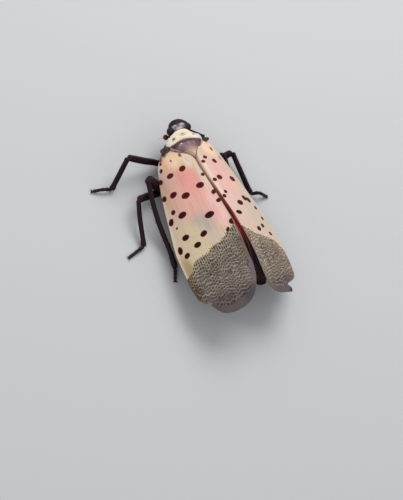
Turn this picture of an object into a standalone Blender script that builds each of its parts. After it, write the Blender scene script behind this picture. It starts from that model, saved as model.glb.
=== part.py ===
"""Spotted lanternfly at rest, life size: a still model standing on its feet.

The head faces -Y, the insect's left side is +X and the floor is z = 0.
Driving sizes are in millimetres, and every mesh is built in metres.
"""

import math
from dataclasses import dataclass

import bmesh
import bpy
from mathutils import Matrix, Vector

MM = 0.001
GAP = 0.3  # clear space between neighbouring solids

# Fore wing blade: distance along the wing as a share of its length, and distance from the ridge line
WING_LENGTH = 20.85
WING_START = 0.42
COSTAL_MARGIN = ((0.0, 3.75), (0.06, 4.8), (0.2, 5.96), (0.4, 7.1), (0.6, 7.96), (0.75, 8.01))
INNER_MARGIN = ((0.0, 2.7), (0.16, 0.0), (0.45, 0.0), (0.6, 0.05), (0.75, 0.11))
APEX_START = 0.75
LAST_APEX_ANGLE = math.radians(82)
WING_THICKNESS = 0.5
LEAST_EDGE_NORMAL = 0.6
WING_ROWS_TO_APEX = 13
WING_APEX_ROWS = 6
VEINS = (0.13, 0.34, 0.56, 0.78)  # share of the chord, counted from the ridge
VEIN_HALF_WIDTH = 0.022
VEIN_HEIGHT = 0.14
VEIN_FULL_CHORD = 5.5  # where the chord is shorter, the veins are lower

# How each blade is arched and bent
ARCH_RADIUS = 13.94
ARCH_CENTRE = 4.0
TWIST_CENTRE = 8.0
TWIST_SPAN = 10.0
DROOP_START = 9.0
DROOP_SPAN = 12.0

# Hind wing, folded below the fore wing
HIND_WING_DEPTH = WING_THICKNESS + GAP + 0.06
HIND_WING_FROM = 3.5
HIND_WING_TO = 17.2
HIND_WING_INNER = 0.95
HIND_WING_WIDTH = 0.52  # share of the fore wing's chord
HIND_WING_ROWS = 12
HIND_WING_COLUMNS = 7
PLEAT_HEIGHT = 0.1

# Body stations: y, half width, top z, bottom z
PRONOTUM_STATIONS = (
    (-4.26, 0.6, 4.98, 2.95),
    (-3.98, 1.3, 5.0, 2.5),
    (-3.65, 2.05, 5.02, 2.25),
    (-3.4, 2.45, 5.05, 2.1),
    (-3.18, 2.45, 5.08, 2.15),
)
PRONOTUM_REAR_LEAN = 0.31  # how far the top of its rear face lies behind the middle of that face
TRUNK_STATIONS = (
    (-2.86, 2.2, 4.6, 1.85),
    (-2.3, 1.95, 4.25, 1.7),
    (-1.2, 1.9, 4.15, 1.5),
    (0.0, 1.9, 4.35, 1.45),
    (0.62, 1.8, 4.5, 1.5),
)
SCUTELLUM_FRONT_LEAN = 0.16
SCUTELLUM_STATIONS = (
    (-2.72, 2.1, 5.1, 3.4),
    (-2.3, 1.75, 5.2, 3.7),
    (-1.9, 1.42, 5.3, 3.8),
    (-1.2, 0.86, 5.46, 3.8),
    (-0.5, 0.4, 5.56, 3.8),
    (-0.06, 0.14, 5.56, 3.9),
)
TEGULA_CENTRE = (2.6, -2.6, 3.82)
TEGULA_SIZE = (0.68, 0.25, 0.5)
ABDOMEN_STATIONS = (
    (0.94, 1.65, 3.45, 1.35),
    (2.6, 2.0, 3.54, 1.05),
    (5.0, 2.15, 3.7, 0.95),
    (7.5, 2.05, 3.7, 1.05),
    (9.6, 1.6, 3.6, 1.3),
    (11.0, 0.95, 3.25, 1.7),
    (11.7, 0.4, 2.85, 2.15),
)
ABDOMEN_SEGMENTS = 8
ABDOMEN_ROWS_PER_SEGMENT = 2
SEGMENT_RIDGE = 0.07
BODY_RING_POINTS = 18
BELLY_NARROWING = 0.3

# Head and what it carries
HEAD_CENTRE = Vector((-0.08, -4.69, 3.72))  # the head is held a little to the right
HEAD_RADII = Vector((1.16, 1.25, 1.16))
HEAD_BACK = -4.56
HEAD_SQUARENESS = 0.86
FACE_NARROWING = 0.42
FACE_SETBACK = 0.42
EYE_OFFSET = Vector((1.12, 0.02, 0.22))  # from the head's centre
EYE_RADII = Vector((0.46, 0.5, 0.58))
EYE_INNER_FACE = 1.0
ANTENNA_OFFSET = Vector((1.1, 0.2, -0.87))
ANTENNA_DIRECTION = Vector((0.84, -0.08, -0.08))
ANTENNA_BULB_RADIUS = 0.29
ANTENNA_BULB_LENGTH = 0.62
BRISTLE_LENGTH = 0.95
BRISTLE_TIP_RADIUS = 0.06
BEAK_PATH = ((-0.06, -4.4, 2.0), (-0.04, -3.9, 1.62), (0.0, -2.4, 1.05), (0.0, -0.4, 0.78))
BEAK_RADII = (0.3, 0.29, 0.25, 0.16)

COXA_WIDENING = 1.1
UNDERSIDE_STEPS = 6
LEG_SIDES = 10
FEMUR_STEPS = 10
TIBIA_STEPS = 5
FOOT_SIDES = 8
FOOT_STEPS = 7
SOLE_HEIGHT = 0.17
SPINE_LENGTH = 0.55
SPINE_RADIUS = 0.22
SPINE_ROOT_DEPTH = 0.2
SPINE_STATIONS = (0.2, 0.36, 0.52, 0.68, 0.84)


@dataclass(frozen=True)
class WingPose:
    """Where one fore wing lies: its root in mm and its angles in radians."""

    side: int
    root: tuple
    yaw: float
    rise: float
    slope: float
    droop: float
    twist: float
    tip: float
    length: float = WING_LENGTH


@dataclass(frozen=True)
class Leg:
    """Joints of one leg in mm, from the body outwards, and the radii of its three segments.

    The coxa is given by its x and y, because its height follows from the body above it.
    """

    coxa: tuple
    hip: tuple
    thigh: tuple
    knee: tuple
    ankle: tuple
    toe: tuple
    femur_radius: float = 0.3
    tibia_radius: float = 0.26
    foot_radius: float = 0.22
    foot_arch: float = 0.0
    spined: bool = False


WING_POSES = {
    "left": WingPose(1, (0.144, -2.491, 5.386), -0.027, 0.132, 0.642, 1.701, -0.175, 5.1),
    "right": WingPose(-1, (-0.256, -2.491, 5.372), 0.027, 0.156, 0.686, 2.729, -0.079, 4.4),
}

LEGS = {
    "fore_left": Leg(
        coxa=(1.25, -3.35), hip=(2.35, -2.75, 1.12), thigh=(4.9, -2.95, 2.4), knee=(7.45, -3.1, 3.75),
        ankle=(9.37, -0.97, 0.42), toe=(11.78, -1.55, 0.15), femur_radius=0.35,
    ),
    "fore_right": Leg(
        coxa=(-1.25, -3.35), hip=(-1.7, -2.1, 1.0), thigh=(-2.65, -2.6, 2.05), knee=(-3.22, -3.25, 3.2),
        ankle=(-2.9, -5.6, 0.42), toe=(-1.9, -6.9, 0.15), femur_radius=0.32,
    ),
    "mid_left": Leg(
        coxa=(1.25, -1.1), hip=(2.2, 0.2, 0.41), thigh=(4.1, 1.02, 0.67), knee=(7.8, 1.79, 2.3),
        ankle=(8.54, 6.64, 0.42), toe=(10.88, 7.4, 0.15),
    ),
    "mid_right": Leg(
        coxa=(-1.25, -1.1), hip=(-2.1, -0.2, 0.42), thigh=(-4.4, -0.75, 0.64), knee=(-6.5, -0.88, 1.66),
        ankle=(-7.23, 4.3, 0.42), toe=(-9.33, 5.16, 0.15), foot_arch=0.45,
    ),
    "hind_left": Leg(
        coxa=(1.25, 0.35), hip=(2.0, 1.0, 1.15), thigh=(4.1, 0.28, 1.5), knee=(5.85, -0.12, 3.2),
        ankle=(5.96, 10.23, 0.45), toe=(6.57, 11.69, 0.15), tibia_radius=0.29, spined=True,
    ),
    "hind_right": Leg(
        coxa=(-1.25, 0.35), hip=(-2.0, 1.0, 1.1), thigh=(-4.15, -0.42, 1.5), knee=(-5.25, -0.95, 2.02),
        ankle=(-4.6, 9.3, 0.45), toe=(-4.9, 10.8, 0.15), tibia_radius=0.27, spined=True,
    ),
}


def clear_scene():
    """Removes every object, so that the script can be run again."""
    for thing in list(bpy.data.objects):
        bpy.data.objects.remove(thing, do_unlink=True)


def make_material(name, color, roughness):
    """A plain non-metallic surface."""
    material = bpy.data.materials.new(name)
    material.use_nodes = True
    shader = material.node_tree.nodes["Principled BSDF"]
    shader.inputs["Base Color"].default_value = (*color, 1.0)
    shader.inputs["Roughness"].default_value = roughness
    shader.inputs["Metallic"].default_value = 0.0
    return material


def make_object(name, mesh_builder, color, roughness=0.5, smooth_angle=50.0):
    """Turns a bmesh in millimetres into a named object in metres, with its own material."""
    bmesh.ops.scale(mesh_builder, vec=(MM, MM, MM), verts=mesh_builder.verts[:])
    mesh = bpy.data.meshes.new(name)
    mesh_builder.to_mesh(mesh)
    mesh_builder.free()
    mesh.shade_smooth()
    mesh.set_sharp_from_angle(angle=math.radians(smooth_angle))
    mesh.materials.append(make_material(name, color, roughness))
    thing = bpy.data.objects.new(name, mesh)
    bpy.context.scene.collection.objects.link(thing)
    return thing


def smooth_value(stations, where, column=1):
    """Reads a smooth curve through stations at one place, which never overshoots a station."""
    places = [station[0] for station in stations]
    values = [station[column] for station in stations]
    if where <= places[0]:
        return values[0]
    if where >= places[-1]:
        return values[-1]
    gaps = [after - before for before, after in zip(places, places[1:])]
    rises = [(after - before) / gap for before, after, gap in zip(values, values[1:], gaps)]
    slopes = [rises[0]]
    for before, after in zip(rises, rises[1:]):
        slopes.append(2 * before * after / (before + after) if before * after > 0 else 0.0)
    slopes.append(rises[-1])
    index = max(number for number in range(len(gaps)) if places[number] <= where)
    share = (where - places[index]) / gaps[index]
    start_weight = 2 * share**3 - 3 * share**2 + 1
    start_slope_weight = share**3 - 2 * share**2 + share
    end_slope_weight = share**3 - share**2
    return (
        start_weight * values[index]
        + start_slope_weight * gaps[index] * slopes[index]
        + (1 - start_weight) * values[index + 1]
        + end_slope_weight * gaps[index] * slopes[index + 1]
    )


def smooth_path(points, radii, steps):
    """Samples a smooth curve and its radius through a few points."""
    distances = [0.0]
    for first, second in zip(points, points[1:]):
        distances.append(distances[-1] + (Vector(second) - Vector(first)).length)
    stations = [(distance, *point, radius) for distance, point, radius in zip(distances, points, radii)]
    samples = []
    for step in range(steps + 1):
        where = distances[-1] * step / steps
        centre = Vector([smooth_value(stations, where, column) for column in (1, 2, 3)])
        samples.append((centre, smooth_value(stations, where, 4)))
    return samples


def loft(rings):
    """A closed solid that runs through matching rings of points, closed by a face at each end."""
    body = bmesh.new()
    place = body.verts.layers.int.new("place")
    start = bmesh.ops.create_circle(body, cap_ends=True, segments=len(rings[0]), radius=1.0)
    for number, vert in enumerate(start["verts"]):
        vert[place] = number
        vert.co = rings[0][number]
    start_cap = body.faces[:]
    cap = start_cap
    for ring in rings[1:]:
        grown = bmesh.ops.extrude_face_region(body, geom=cap)["geom"]
        if cap != start_cap:
            bmesh.ops.delete(body, geom=cap, context="FACES_ONLY")
        cap = [item for item in grown if isinstance(item, bmesh.types.BMFace)]
        for item in grown:
            if isinstance(item, bmesh.types.BMVert):
                item.co = ring[item[place]]
    bmesh.ops.recalc_face_normals(body, faces=body.faces[:])
    return body


def tube(samples, sides, start_plane=None, end_plane=None, flatten=1.0):
    """A round rod along centres and radii, whose ends may be mitred to a plane's normal."""
    rings = []
    axis = (samples[1][0] - samples[0][0]).normalized()
    across = axis.cross(Vector((0.0, 0.0, 1.0))).normalized()
    for index, (centre, radius) in enumerate(samples):
        before = samples[max(index - 1, 0)][0]
        after = samples[min(index + 1, len(samples) - 1)][0]
        axis = (after - before).normalized()
        across = (across - axis * across.dot(axis)).normalized()
        upward = across.cross(axis)
        mitre = start_plane if index == 0 else end_plane if index == len(samples) - 1 else None
        ring = []
        for side in range(sides):
            turn = 2 * math.pi * side / sides
            point = centre + radius * (across * math.cos(turn) + upward * flatten * math.sin(turn))
            if mitre is not None:
                point += axis * ((centre - point).dot(mitre) / axis.dot(mitre))
            ring.append(point)
        rings.append(ring)
    return loft(rings)


def body_ring(y, half_width, top, bottom, peak=0.0, lean=0.0):
    """A ring of the body: a round back, a narrower belly and, if asked for, a raised midline.

    A ring that leans has its top farther back than its middle and its belly.
    """
    middle = (top + bottom) / 2
    ring = []
    for number in range(BODY_RING_POINTS):
        turn = 2 * math.pi * number / BODY_RING_POINTS
        lift = math.sin(turn)
        x = half_width * math.cos(turn)
        if lift < 0:
            x *= 1 - BELLY_NARROWING * lift * lift
        z = middle + (top - middle) * lift
        z += peak * max(lift, 0.0) ** 6
        ring.append(Vector((x, y + lean * max(lift, 0.0), z)))
    return ring


def body_part(stations, rows, ripple=0.0, ripples=0, peak=0.0, leans=(0.0, 0.0)):
    """A length of the body through its stations, with ring-shaped steps where it is segmented.

    Its rings may lean, by one amount at its front end and another at its rear end.
    """
    first, last = stations[0][0], stations[-1][0]
    rings = []
    for row in range(rows + 1):
        share = row / rows
        y = first + (last - first) * share
        width, top, bottom = (smooth_value(stations, y, column) for column in (1, 2, 3))
        swell = ripple * abs(math.sin(math.pi * ripples * share)) if ripples else 0.0
        lean = leans[0] + (leans[1] - leans[0]) * share
        rings.append(body_ring(y, width + swell, top + swell, bottom - swell, peak, lean))
    return loft(rings)


def keep_largest(thing):
    """Keeps only the largest closed surface of an object's mesh."""
    body = bmesh.new()
    body.from_mesh(thing.data)
    unseen = set(body.verts)
    groups = []
    while unseen:
        group = set()
        waiting = [unseen.pop()]
        while waiting:
            vert = waiting.pop()
            group.add(vert)
            for edge in vert.link_edges:
                other = edge.other_vert(vert)
                if other in unseen:
                    unseen.remove(other)
                    waiting.append(other)
        groups.append(group)
    largest = max(groups, key=len)
    spare = [vert for vert in body.verts if vert not in largest]
    bmesh.ops.delete(body, geom=spare, context="VERTS")
    body.to_mesh(thing.data)
    body.free()


def combine(thing, others, operation="UNION"):
    """Joins or cuts an object with closed meshes, applies the result and removes the meshes."""
    group = bpy.data.collections.new("pieces")
    for other in others:
        group.objects.link(other)
    change = thing.modifiers.new("pieces", "BOOLEAN")
    change.operand_type = "COLLECTION"
    change.collection = group
    change.operation = operation
    change.solver = "EXACT"
    graph = bpy.context.evaluated_depsgraph_get()
    mesh = bpy.data.meshes.new_from_object(thing.evaluated_get(graph))
    thing.modifiers.clear()
    thing.data = mesh
    for other in others:
        bpy.data.objects.remove(other, do_unlink=True)
    bpy.data.collections.remove(group)
    keep_largest(thing)


def ball(centre, radii, segments=16, rings=10):
    """An ellipsoid."""
    body = bmesh.new()
    bmesh.ops.create_uvsphere(body, u_segments=segments, v_segments=rings, radius=1.0)
    bmesh.ops.scale(body, vec=radii, verts=body.verts[:])
    bmesh.ops.translate(body, vec=centre, verts=body.verts[:])
    return body


def cut_flat(body, point, normal):
    """Removes what lies on the normal's side of a plane and closes the cut with a flat face."""
    geometry = body.verts[:] + body.edges[:] + body.faces[:]
    cut = bmesh.ops.bisect_plane(body, geom=geometry, plane_co=point, plane_no=normal, clear_outer=True)
    edges = [item for item in cut["geom_cut"] if isinstance(item, bmesh.types.BMEdge)]
    bmesh.ops.holes_fill(body, edges=edges, sides=0)
    bmesh.ops.recalc_face_normals(body, faces=body.faces[:])


def wing_point(pose, along, across):
    """A point on a fore wing's upper surface, along from its root and across from its ridge line."""
    turn = pose.slope - ARCH_CENTRE / ARCH_RADIUS + pose.twist * (along - TWIST_CENTRE) / TWIST_SPAN
    angle = turn + across / ARCH_RADIUS
    outward = ARCH_RADIUS * (math.sin(angle) - math.sin(turn))
    fall = ARCH_RADIUS * (math.cos(turn) - math.cos(angle))
    droop = pose.droop * max((along - DROOP_START) / DROOP_SPAN, 0.0) ** 2
    backward = along * math.cos(pose.rise)
    height = along * math.sin(pose.rise) - fall - droop
    x = outward * math.cos(pose.yaw) + backward * math.sin(pose.yaw)
    y = backward * math.cos(pose.yaw) - outward * math.sin(pose.yaw)
    return Vector((pose.side * x, y, height)) + Vector(pose.root)


def wing_margins(pose, along):
    """Distances of the inner and the costal margin from the ridge line at one place."""
    share = along / pose.length
    inner = smooth_value(INNER_MARGIN, share)
    costal = smooth_value(COSTAL_MARGIN, share)
    if share > APEX_START:
        reach = (share - APEX_START) / (1 - APEX_START)
        width = math.sqrt(max(1 - reach * reach, 0.0))
        inner = pose.tip + (inner - pose.tip) * width
        costal = pose.tip + (costal - pose.tip) * width
    return inner, costal


def wing_rows(pose):
    """Distances from the root of the rows that cross a fore wing, closer together round its apex."""
    apex = pose.length * APEX_START
    rows = [WING_START + (apex - WING_START) * row / WING_ROWS_TO_APEX for row in range(WING_ROWS_TO_APEX)]
    for row in range(WING_APEX_ROWS + 1):
        turn = LAST_APEX_ANGLE * row / WING_APEX_ROWS
        rows.append(apex + (pose.length - apex) * math.sin(turn))
    return rows


def wing_columns():
    """Shares of the chord for the lines that run along a wing, and which of them are vein crests."""
    columns = [0.0]
    crests = []
    for vein in VEINS:
        columns.append((columns[-1] + vein - VEIN_HALF_WIDTH) / 2)
        columns += [vein - VEIN_HALF_WIDTH, vein, vein + VEIN_HALF_WIDTH]
        crests.append(len(columns) - 2)
    columns += [(columns[-1] + 1.0) / 2, 1.0]
    return columns, crests


def vane(rows, columns, surface, thickness, crests, crest_height):
    """A curved sheet of even thickness, with some of its lines raised on the upper face.

    The sheet is split into triangles before it is thickened, so that both faces are split alike.
    Its first column keeps an upright edge, because the two wings meet there along the ridge.
    """
    sheet = bmesh.new()
    place = sheet.verts.layers.int.new("place")
    bmesh.ops.create_grid(sheet, x_segments=columns - 1, y_segments=rows - 1, size=1.0)
    for vert in sheet.verts:
        column = round((vert.co.x + 1) / 2 * (columns - 1))
        row = round((vert.co.y + 1) / 2 * (rows - 1))
        vert[place] = row * columns + column
        vert.co = surface(row, column)
    bmesh.ops.triangulate(sheet, faces=sheet.faces[:], quad_method="FIXED")
    sheet.normal_update()
    turned = 1 if sum(face.normal.z for face in sheet.faces) > 0 else -1
    normals = {vert[place]: vert.normal * turned for vert in sheet.verts}
    grown = bmesh.ops.extrude_face_region(sheet, geom=sheet.faces[:])["geom"]
    upper = {item for item in grown if isinstance(item, bmesh.types.BMVert)}
    for vert in sheet.verts:
        row, column = divmod(vert[place], columns)
        normal = normals[vert[place]]
        if vert not in upper:
            if column == 0:
                normal = Vector((0.0, 0.0, 1.0 / max(normal.z, LEAST_EDGE_NORMAL)))
            vert.co -= normal * thickness
        elif column in crests and 0 < row < rows - 1:
            vert.co += normal * crest_height(row)
    bmesh.ops.recalc_face_normals(sheet, faces=sheet.faces[:])
    return sheet


def make_fore_wing(name, pose):
    """One fore wing with its four main veins raised on it."""
    rows = wing_rows(pose)
    columns, crests = wing_columns()

    def surface(row, column):
        inner, costal = wing_margins(pose, rows[row])
        return wing_point(pose, rows[row], inner + (costal - inner) * columns[column])

    def crest_height(row):
        inner, costal = wing_margins(pose, rows[row])
        return VEIN_HEIGHT * min((costal - inner) / VEIN_FULL_CHORD, 1.0)

    sheet = vane(len(rows), len(columns), surface, WING_THICKNESS, crests, crest_height)
    return make_object(name, sheet, (0.72, 0.52, 0.43), 0.55)


def make_hind_wing(name, pose):
    """One hind wing, folded into low pleats under the fore wing."""

    def surface(row, column):
        along = HIND_WING_FROM + (HIND_WING_TO - HIND_WING_FROM) * row / (HIND_WING_ROWS - 1)
        inner, costal = wing_margins(pose, along)
        end_rounding = math.sqrt(max(1 - (row / (HIND_WING_ROWS - 1)) ** 6, 0.04))
        inner = max(inner + 0.35, HIND_WING_INNER)
        width = (costal - inner) * HIND_WING_WIDTH * end_rounding
        across = inner + width * column / (HIND_WING_COLUMNS - 1)
        step = 0.01
        point = wing_point(pose, along, across)
        tangent_along = wing_point(pose, along + step, across) - point
        tangent_across = wing_point(pose, along, across + step) - point
        normal = tangent_along.cross(tangent_across).normalized()
        normal *= 1 if normal.z > 0 else -1
        depth = HIND_WING_DEPTH + (PLEAT_HEIGHT if column % 2 else 0.0)
        return point - normal * depth

    sheet = vane(HIND_WING_ROWS, HIND_WING_COLUMNS, surface, WING_THICKNESS, (), None)
    return make_object(name, sheet, (0.45, 0.03, 0.03), 0.5)


def make_head():
    """The head: a bluntly rounded vertex over a face that narrows down to the beak, with eye sockets."""
    body = ball((0, 0, 0), (1, 1, 1), 24, 16)
    for vert in body.verts:
        direction = vert.co.normalized()
        squared = [math.copysign(abs(value) ** HEAD_SQUARENESS, value) for value in direction]
        lower = max(-direction.z, 0.0)
        x = HEAD_RADII.x * squared[0] * (1 - FACE_NARROWING * lower)
        y = HEAD_RADII.y * squared[1] + FACE_SETBACK * lower
        vert.co = HEAD_CENTRE + Vector((x, y, HEAD_RADII.z * squared[2]))
    cut_flat(body, (0, HEAD_BACK, 0), (0, 1, 0))
    head = make_object("head", body, (0.06, 0.045, 0.055), 0.45)
    combine(head, eye_sockets(), "DIFFERENCE")
    return head


def eye_sockets():
    """The room that the two eyes need, one gap larger than the eyes all round."""
    sockets = []
    for side in (1, -1):
        body = eye_shape(side, GAP)
        sockets.append(make_object("socket", body, (0, 0, 0)))
    return sockets


def eye_shape(side, margin=0.0):
    """A bulging eye with a flat inner face, or the same shape with a margin all round."""
    body = ball(HEAD_CENTRE + mirrored(EYE_OFFSET, side), EYE_RADII + Vector((margin, margin, margin)))
    inner_face = HEAD_CENTRE.x + side * (EYE_INNER_FACE - margin)
    cut_flat(body, (inner_face, 0, 0), (-side, 0, 0))
    return body


def mirrored(point, side):
    """The same place on the left (1) or right (-1) of the body."""
    return Vector((point[0] * side, point[1], point[2]))


def make_eye(name, side):
    """A compound eye."""
    return make_object(name, eye_shape(side), (0.05, 0.03, 0.035), 0.25)


def make_antenna(name, side):
    """A round pedicel with a stiff bristle."""
    root = HEAD_CENTRE + mirrored(ANTENNA_OFFSET, side)
    outward = mirrored(ANTENNA_DIRECTION, side).normalized()
    radius = ANTENNA_BULB_RADIUS
    shares = ((0.0, 0.75), (0.3, 1.0), (0.65, 0.95), (0.9, 0.66), (1.0, 0.55))
    samples = [(root + outward * ANTENNA_BULB_LENGTH * share, radius * size) for share, size in shares]
    tip = root + outward * (ANTENNA_BULB_LENGTH + BRISTLE_LENGTH)
    samples.append((tip, BRISTLE_TIP_RADIUS))
    return make_object(name, tube(samples, 12), (0.42, 0.06, 0.03), 0.4)


def make_beak():
    """The beak, held back along the underside between the coxae."""
    samples = smooth_path(BEAK_PATH, BEAK_RADII, 10)
    return make_object("beak", tube(samples, LEG_SIDES), (0.08, 0.05, 0.05), 0.5)


def make_thorax():
    """The thorax behind the pronotum: trunk, raised scutellum and a boss in front of each fore wing."""
    trunk = body_part(TRUNK_STATIONS, 6, leans=(PRONOTUM_REAR_LEAN, 0.0))
    thorax = make_object("thorax", trunk, (0.12, 0.07, 0.09), 0.5)
    scutellum = body_part(SCUTELLUM_STATIONS, 8, leans=(SCUTELLUM_FRONT_LEAN, 0.0))
    pieces = [make_object("scutellum", scutellum, (0.12, 0.07, 0.09))]
    for side in (1, -1):
        boss = ball(mirrored(TEGULA_CENTRE, side), TEGULA_SIZE, 12, 8)
        pieces.append(make_object("tegula", boss, (0.12, 0.07, 0.09)))
    combine(thorax, pieces)
    return thorax


def underside(stations, x, y):
    """Height of the lower surface of a part of the body at one place."""
    half_width, top, bottom = (smooth_value(stations, y, column) for column in (1, 2, 3))
    drop = 0.0
    for _ in range(UNDERSIDE_STEPS):
        reach = abs(x) / (half_width * (1 - BELLY_NARROWING * drop * drop))
        drop = math.sqrt(max(1 - reach * reach, 0.0))
    return (top + bottom) / 2 - (top - bottom) / 2 * drop


def coxa_centre(leg):
    """Where a leg begins, one gap below the pronotum or the trunk."""
    x, y = leg.coxa
    stations = PRONOTUM_STATIONS if y < PRONOTUM_STATIONS[-1][0] else TRUNK_STATIONS
    return x, y, underside(stations, x, y) - GAP - leg.femur_radius * COXA_WIDENING


def bisector(first, middle, last):
    """The normal of the plane that halves the bend at a joint."""
    incoming = (Vector(middle) - Vector(first)).normalized()
    outgoing = (Vector(last) - Vector(middle)).normalized()
    return (incoming + outgoing).normalized()


def step_from(point, towards, distance):
    """The place at a distance from one point on the way to another."""
    point = Vector(point)
    return point + (Vector(towards) - point).normalized() * distance


def joint_offset(first, middle, last):
    """How far from a joint each segment stops, so that the mitred faces are one gap apart."""
    along = (Vector(last) - Vector(middle)).normalized()
    return GAP / 2 / abs(along.dot(bisector(first, middle, last)))


def make_femur(name, leg):
    """Coxa, trochanter and femur in one piece, from under the body to the knee."""
    mitre = bisector(leg.hip, leg.knee, leg.ankle)
    end = step_from(leg.knee, leg.hip, joint_offset(leg.hip, leg.knee, leg.ankle))
    radius = leg.femur_radius
    points = (coxa_centre(leg), leg.hip, leg.thigh, end)
    radii = (radius * COXA_WIDENING, radius * 0.84, radius * 0.88, radius * 1.1)
    samples = smooth_path(points, radii, FEMUR_STEPS)
    return make_object(name, tube(samples, LEG_SIDES, end_plane=mitre), (0.05, 0.03, 0.035), 0.45)


def make_tibia(name, leg):
    """A slender tibia from knee to ankle, with a row of spines on its outer side in the hind leg."""
    knee_mitre = bisector(leg.hip, leg.knee, leg.ankle)
    ankle_mitre = bisector(leg.knee, leg.ankle, leg.toe)
    start = step_from(leg.knee, leg.ankle, joint_offset(leg.hip, leg.knee, leg.ankle))
    end = step_from(leg.ankle, leg.knee, joint_offset(leg.knee, leg.ankle, leg.toe))
    radius = leg.tibia_radius
    samples = smooth_path((start, (start + end) / 2, end), (radius * 1.12, radius, radius * 1.08), TIBIA_STEPS)
    rod = tube(samples, LEG_SIDES, start_plane=knee_mitre, end_plane=ankle_mitre)
    tibia = make_object(name, rod, (0.06, 0.035, 0.04), 0.45)
    if leg.spined:
        side = math.copysign(1.0, leg.knee[0])
        outward = Vector((side * 0.8, 0.35, 0.25)).normalized()
        spines = []
        for share in SPINE_STATIONS:
            centre = start.lerp(end, share)
            root = centre + outward * (radius - SPINE_ROOT_DEPTH)
            tip = centre + outward * (radius + SPINE_LENGTH) + Vector((0, 0.2, -0.1))
            samples = [(root, SPINE_RADIUS), (tip, SPINE_RADIUS * 0.18)]
            spines.append(make_object("spine", tube(samples, 5), (0.06, 0.035, 0.04)))
        combine(tibia, spines)
    return tibia


def make_tarsus(name, leg):
    """A jointed foot that lies on a small flat sole at floor level."""
    mitre = bisector(leg.knee, leg.ankle, leg.toe)
    start = step_from(leg.ankle, leg.toe, joint_offset(leg.knee, leg.ankle, leg.toe))
    toe = Vector(leg.toe)
    middle = start.lerp(toe, 0.45)
    middle.z = SOLE_HEIGHT + leg.foot_arch
    instep = start.lerp(toe, 0.75)
    instep.z = SOLE_HEIGHT + leg.foot_arch * 0.4
    radius = leg.foot_radius
    radii = (radius * 1.1, radius, radius, radius * 1.15)
    body = tube(smooth_path((start, middle, instep, toe), radii, FOOT_STEPS), FOOT_SIDES, start_plane=mitre)
    cut_flat(body, (0, 0, 0), (0, 0, -1))
    return make_object(name, body, (0.05, 0.03, 0.035), 0.5)


def make_body():
    """Pronotum and abdomen, which are lengths of the trunk between their neighbours."""
    collar = body_part(PRONOTUM_STATIONS, 8, peak=0.05, leans=(0.0, PRONOTUM_REAR_LEAN))
    pronotum = make_object("pronotum", collar, (0.82, 0.74, 0.6), 0.55)
    combine(pronotum, eye_sockets(), "DIFFERENCE")
    rows = ABDOMEN_SEGMENTS * ABDOMEN_ROWS_PER_SEGMENT
    abdomen = body_part(ABDOMEN_STATIONS, rows, SEGMENT_RIDGE, ABDOMEN_SEGMENTS)
    make_object("abdomen", abdomen, (0.62, 0.42, 0.1), 0.5)


def stand_on_origin():
    """Parents every piece to an empty that puts the origin under the middle of the model's box."""
    things = [thing for thing in bpy.context.scene.objects if thing.type == "MESH"]
    corners = [vert.co for thing in things for vert in thing.data.vertices]
    centre_x = (min(co.x for co in corners) + max(co.x for co in corners)) / 2
    centre_y = (min(co.y for co in corners) + max(co.y for co in corners)) / 2
    root = bpy.data.objects.new("lanternfly", None)
    bpy.context.scene.collection.objects.link(root)
    root.location = (-centre_x, -centre_y, 0.0)
    for thing in things:
        thing.parent = root


def main():
    clear_scene()
    make_head()
    make_beak()
    make_body()
    make_thorax()
    for word, side in (("left", 1), ("right", -1)):
        make_eye(f"eye_{word}", side)
        make_antenna(f"antenna_{word}", side)
        make_fore_wing(f"fore_wing_{word}", WING_POSES[word])
        make_hind_wing(f"hind_wing_{word}", WING_POSES[word])
    for name, leg in LEGS.items():
        make_femur(f"femur_{name}", leg)
        make_tibia(f"tibia_{name}", leg)
        make_tarsus(f"tarsus_{name}", leg)
    stand_on_origin()


main()
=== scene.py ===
"""Spotted lanternfly at rest: the finished look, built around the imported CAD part.

Lengths are millimetres of the body frame: the head faces -Y, the insect's left side is +X and the
floor is z = 0. BodyFrame carries them into the row frame, in metres.
"""

import logging
import math
from dataclasses import dataclass, field
from typing import Callable, Sequence

import bmesh
import bpy
import numpy as np
from mathutils import Matrix, Vector

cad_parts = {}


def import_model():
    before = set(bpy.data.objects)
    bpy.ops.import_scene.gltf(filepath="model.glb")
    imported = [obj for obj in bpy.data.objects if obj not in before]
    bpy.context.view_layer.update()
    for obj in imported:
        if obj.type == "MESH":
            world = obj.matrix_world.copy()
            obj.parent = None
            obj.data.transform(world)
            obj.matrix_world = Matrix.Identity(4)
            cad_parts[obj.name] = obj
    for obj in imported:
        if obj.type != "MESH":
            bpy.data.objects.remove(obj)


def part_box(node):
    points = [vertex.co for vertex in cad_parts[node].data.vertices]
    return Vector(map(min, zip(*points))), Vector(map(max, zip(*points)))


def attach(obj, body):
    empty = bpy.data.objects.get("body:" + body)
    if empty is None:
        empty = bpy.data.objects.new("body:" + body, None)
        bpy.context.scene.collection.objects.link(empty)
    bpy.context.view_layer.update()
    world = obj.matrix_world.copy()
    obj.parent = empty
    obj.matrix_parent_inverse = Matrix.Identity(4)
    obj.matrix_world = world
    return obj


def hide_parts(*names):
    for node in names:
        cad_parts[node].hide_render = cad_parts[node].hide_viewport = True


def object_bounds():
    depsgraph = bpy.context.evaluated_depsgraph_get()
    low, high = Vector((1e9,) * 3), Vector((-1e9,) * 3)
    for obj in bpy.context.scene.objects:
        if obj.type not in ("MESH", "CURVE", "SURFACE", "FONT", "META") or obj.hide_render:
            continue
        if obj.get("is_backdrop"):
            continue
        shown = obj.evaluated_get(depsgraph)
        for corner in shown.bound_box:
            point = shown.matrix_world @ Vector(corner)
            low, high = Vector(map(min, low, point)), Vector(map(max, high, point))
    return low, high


log = logging.getLogger("lanternfly")
MM = 0.001


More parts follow.
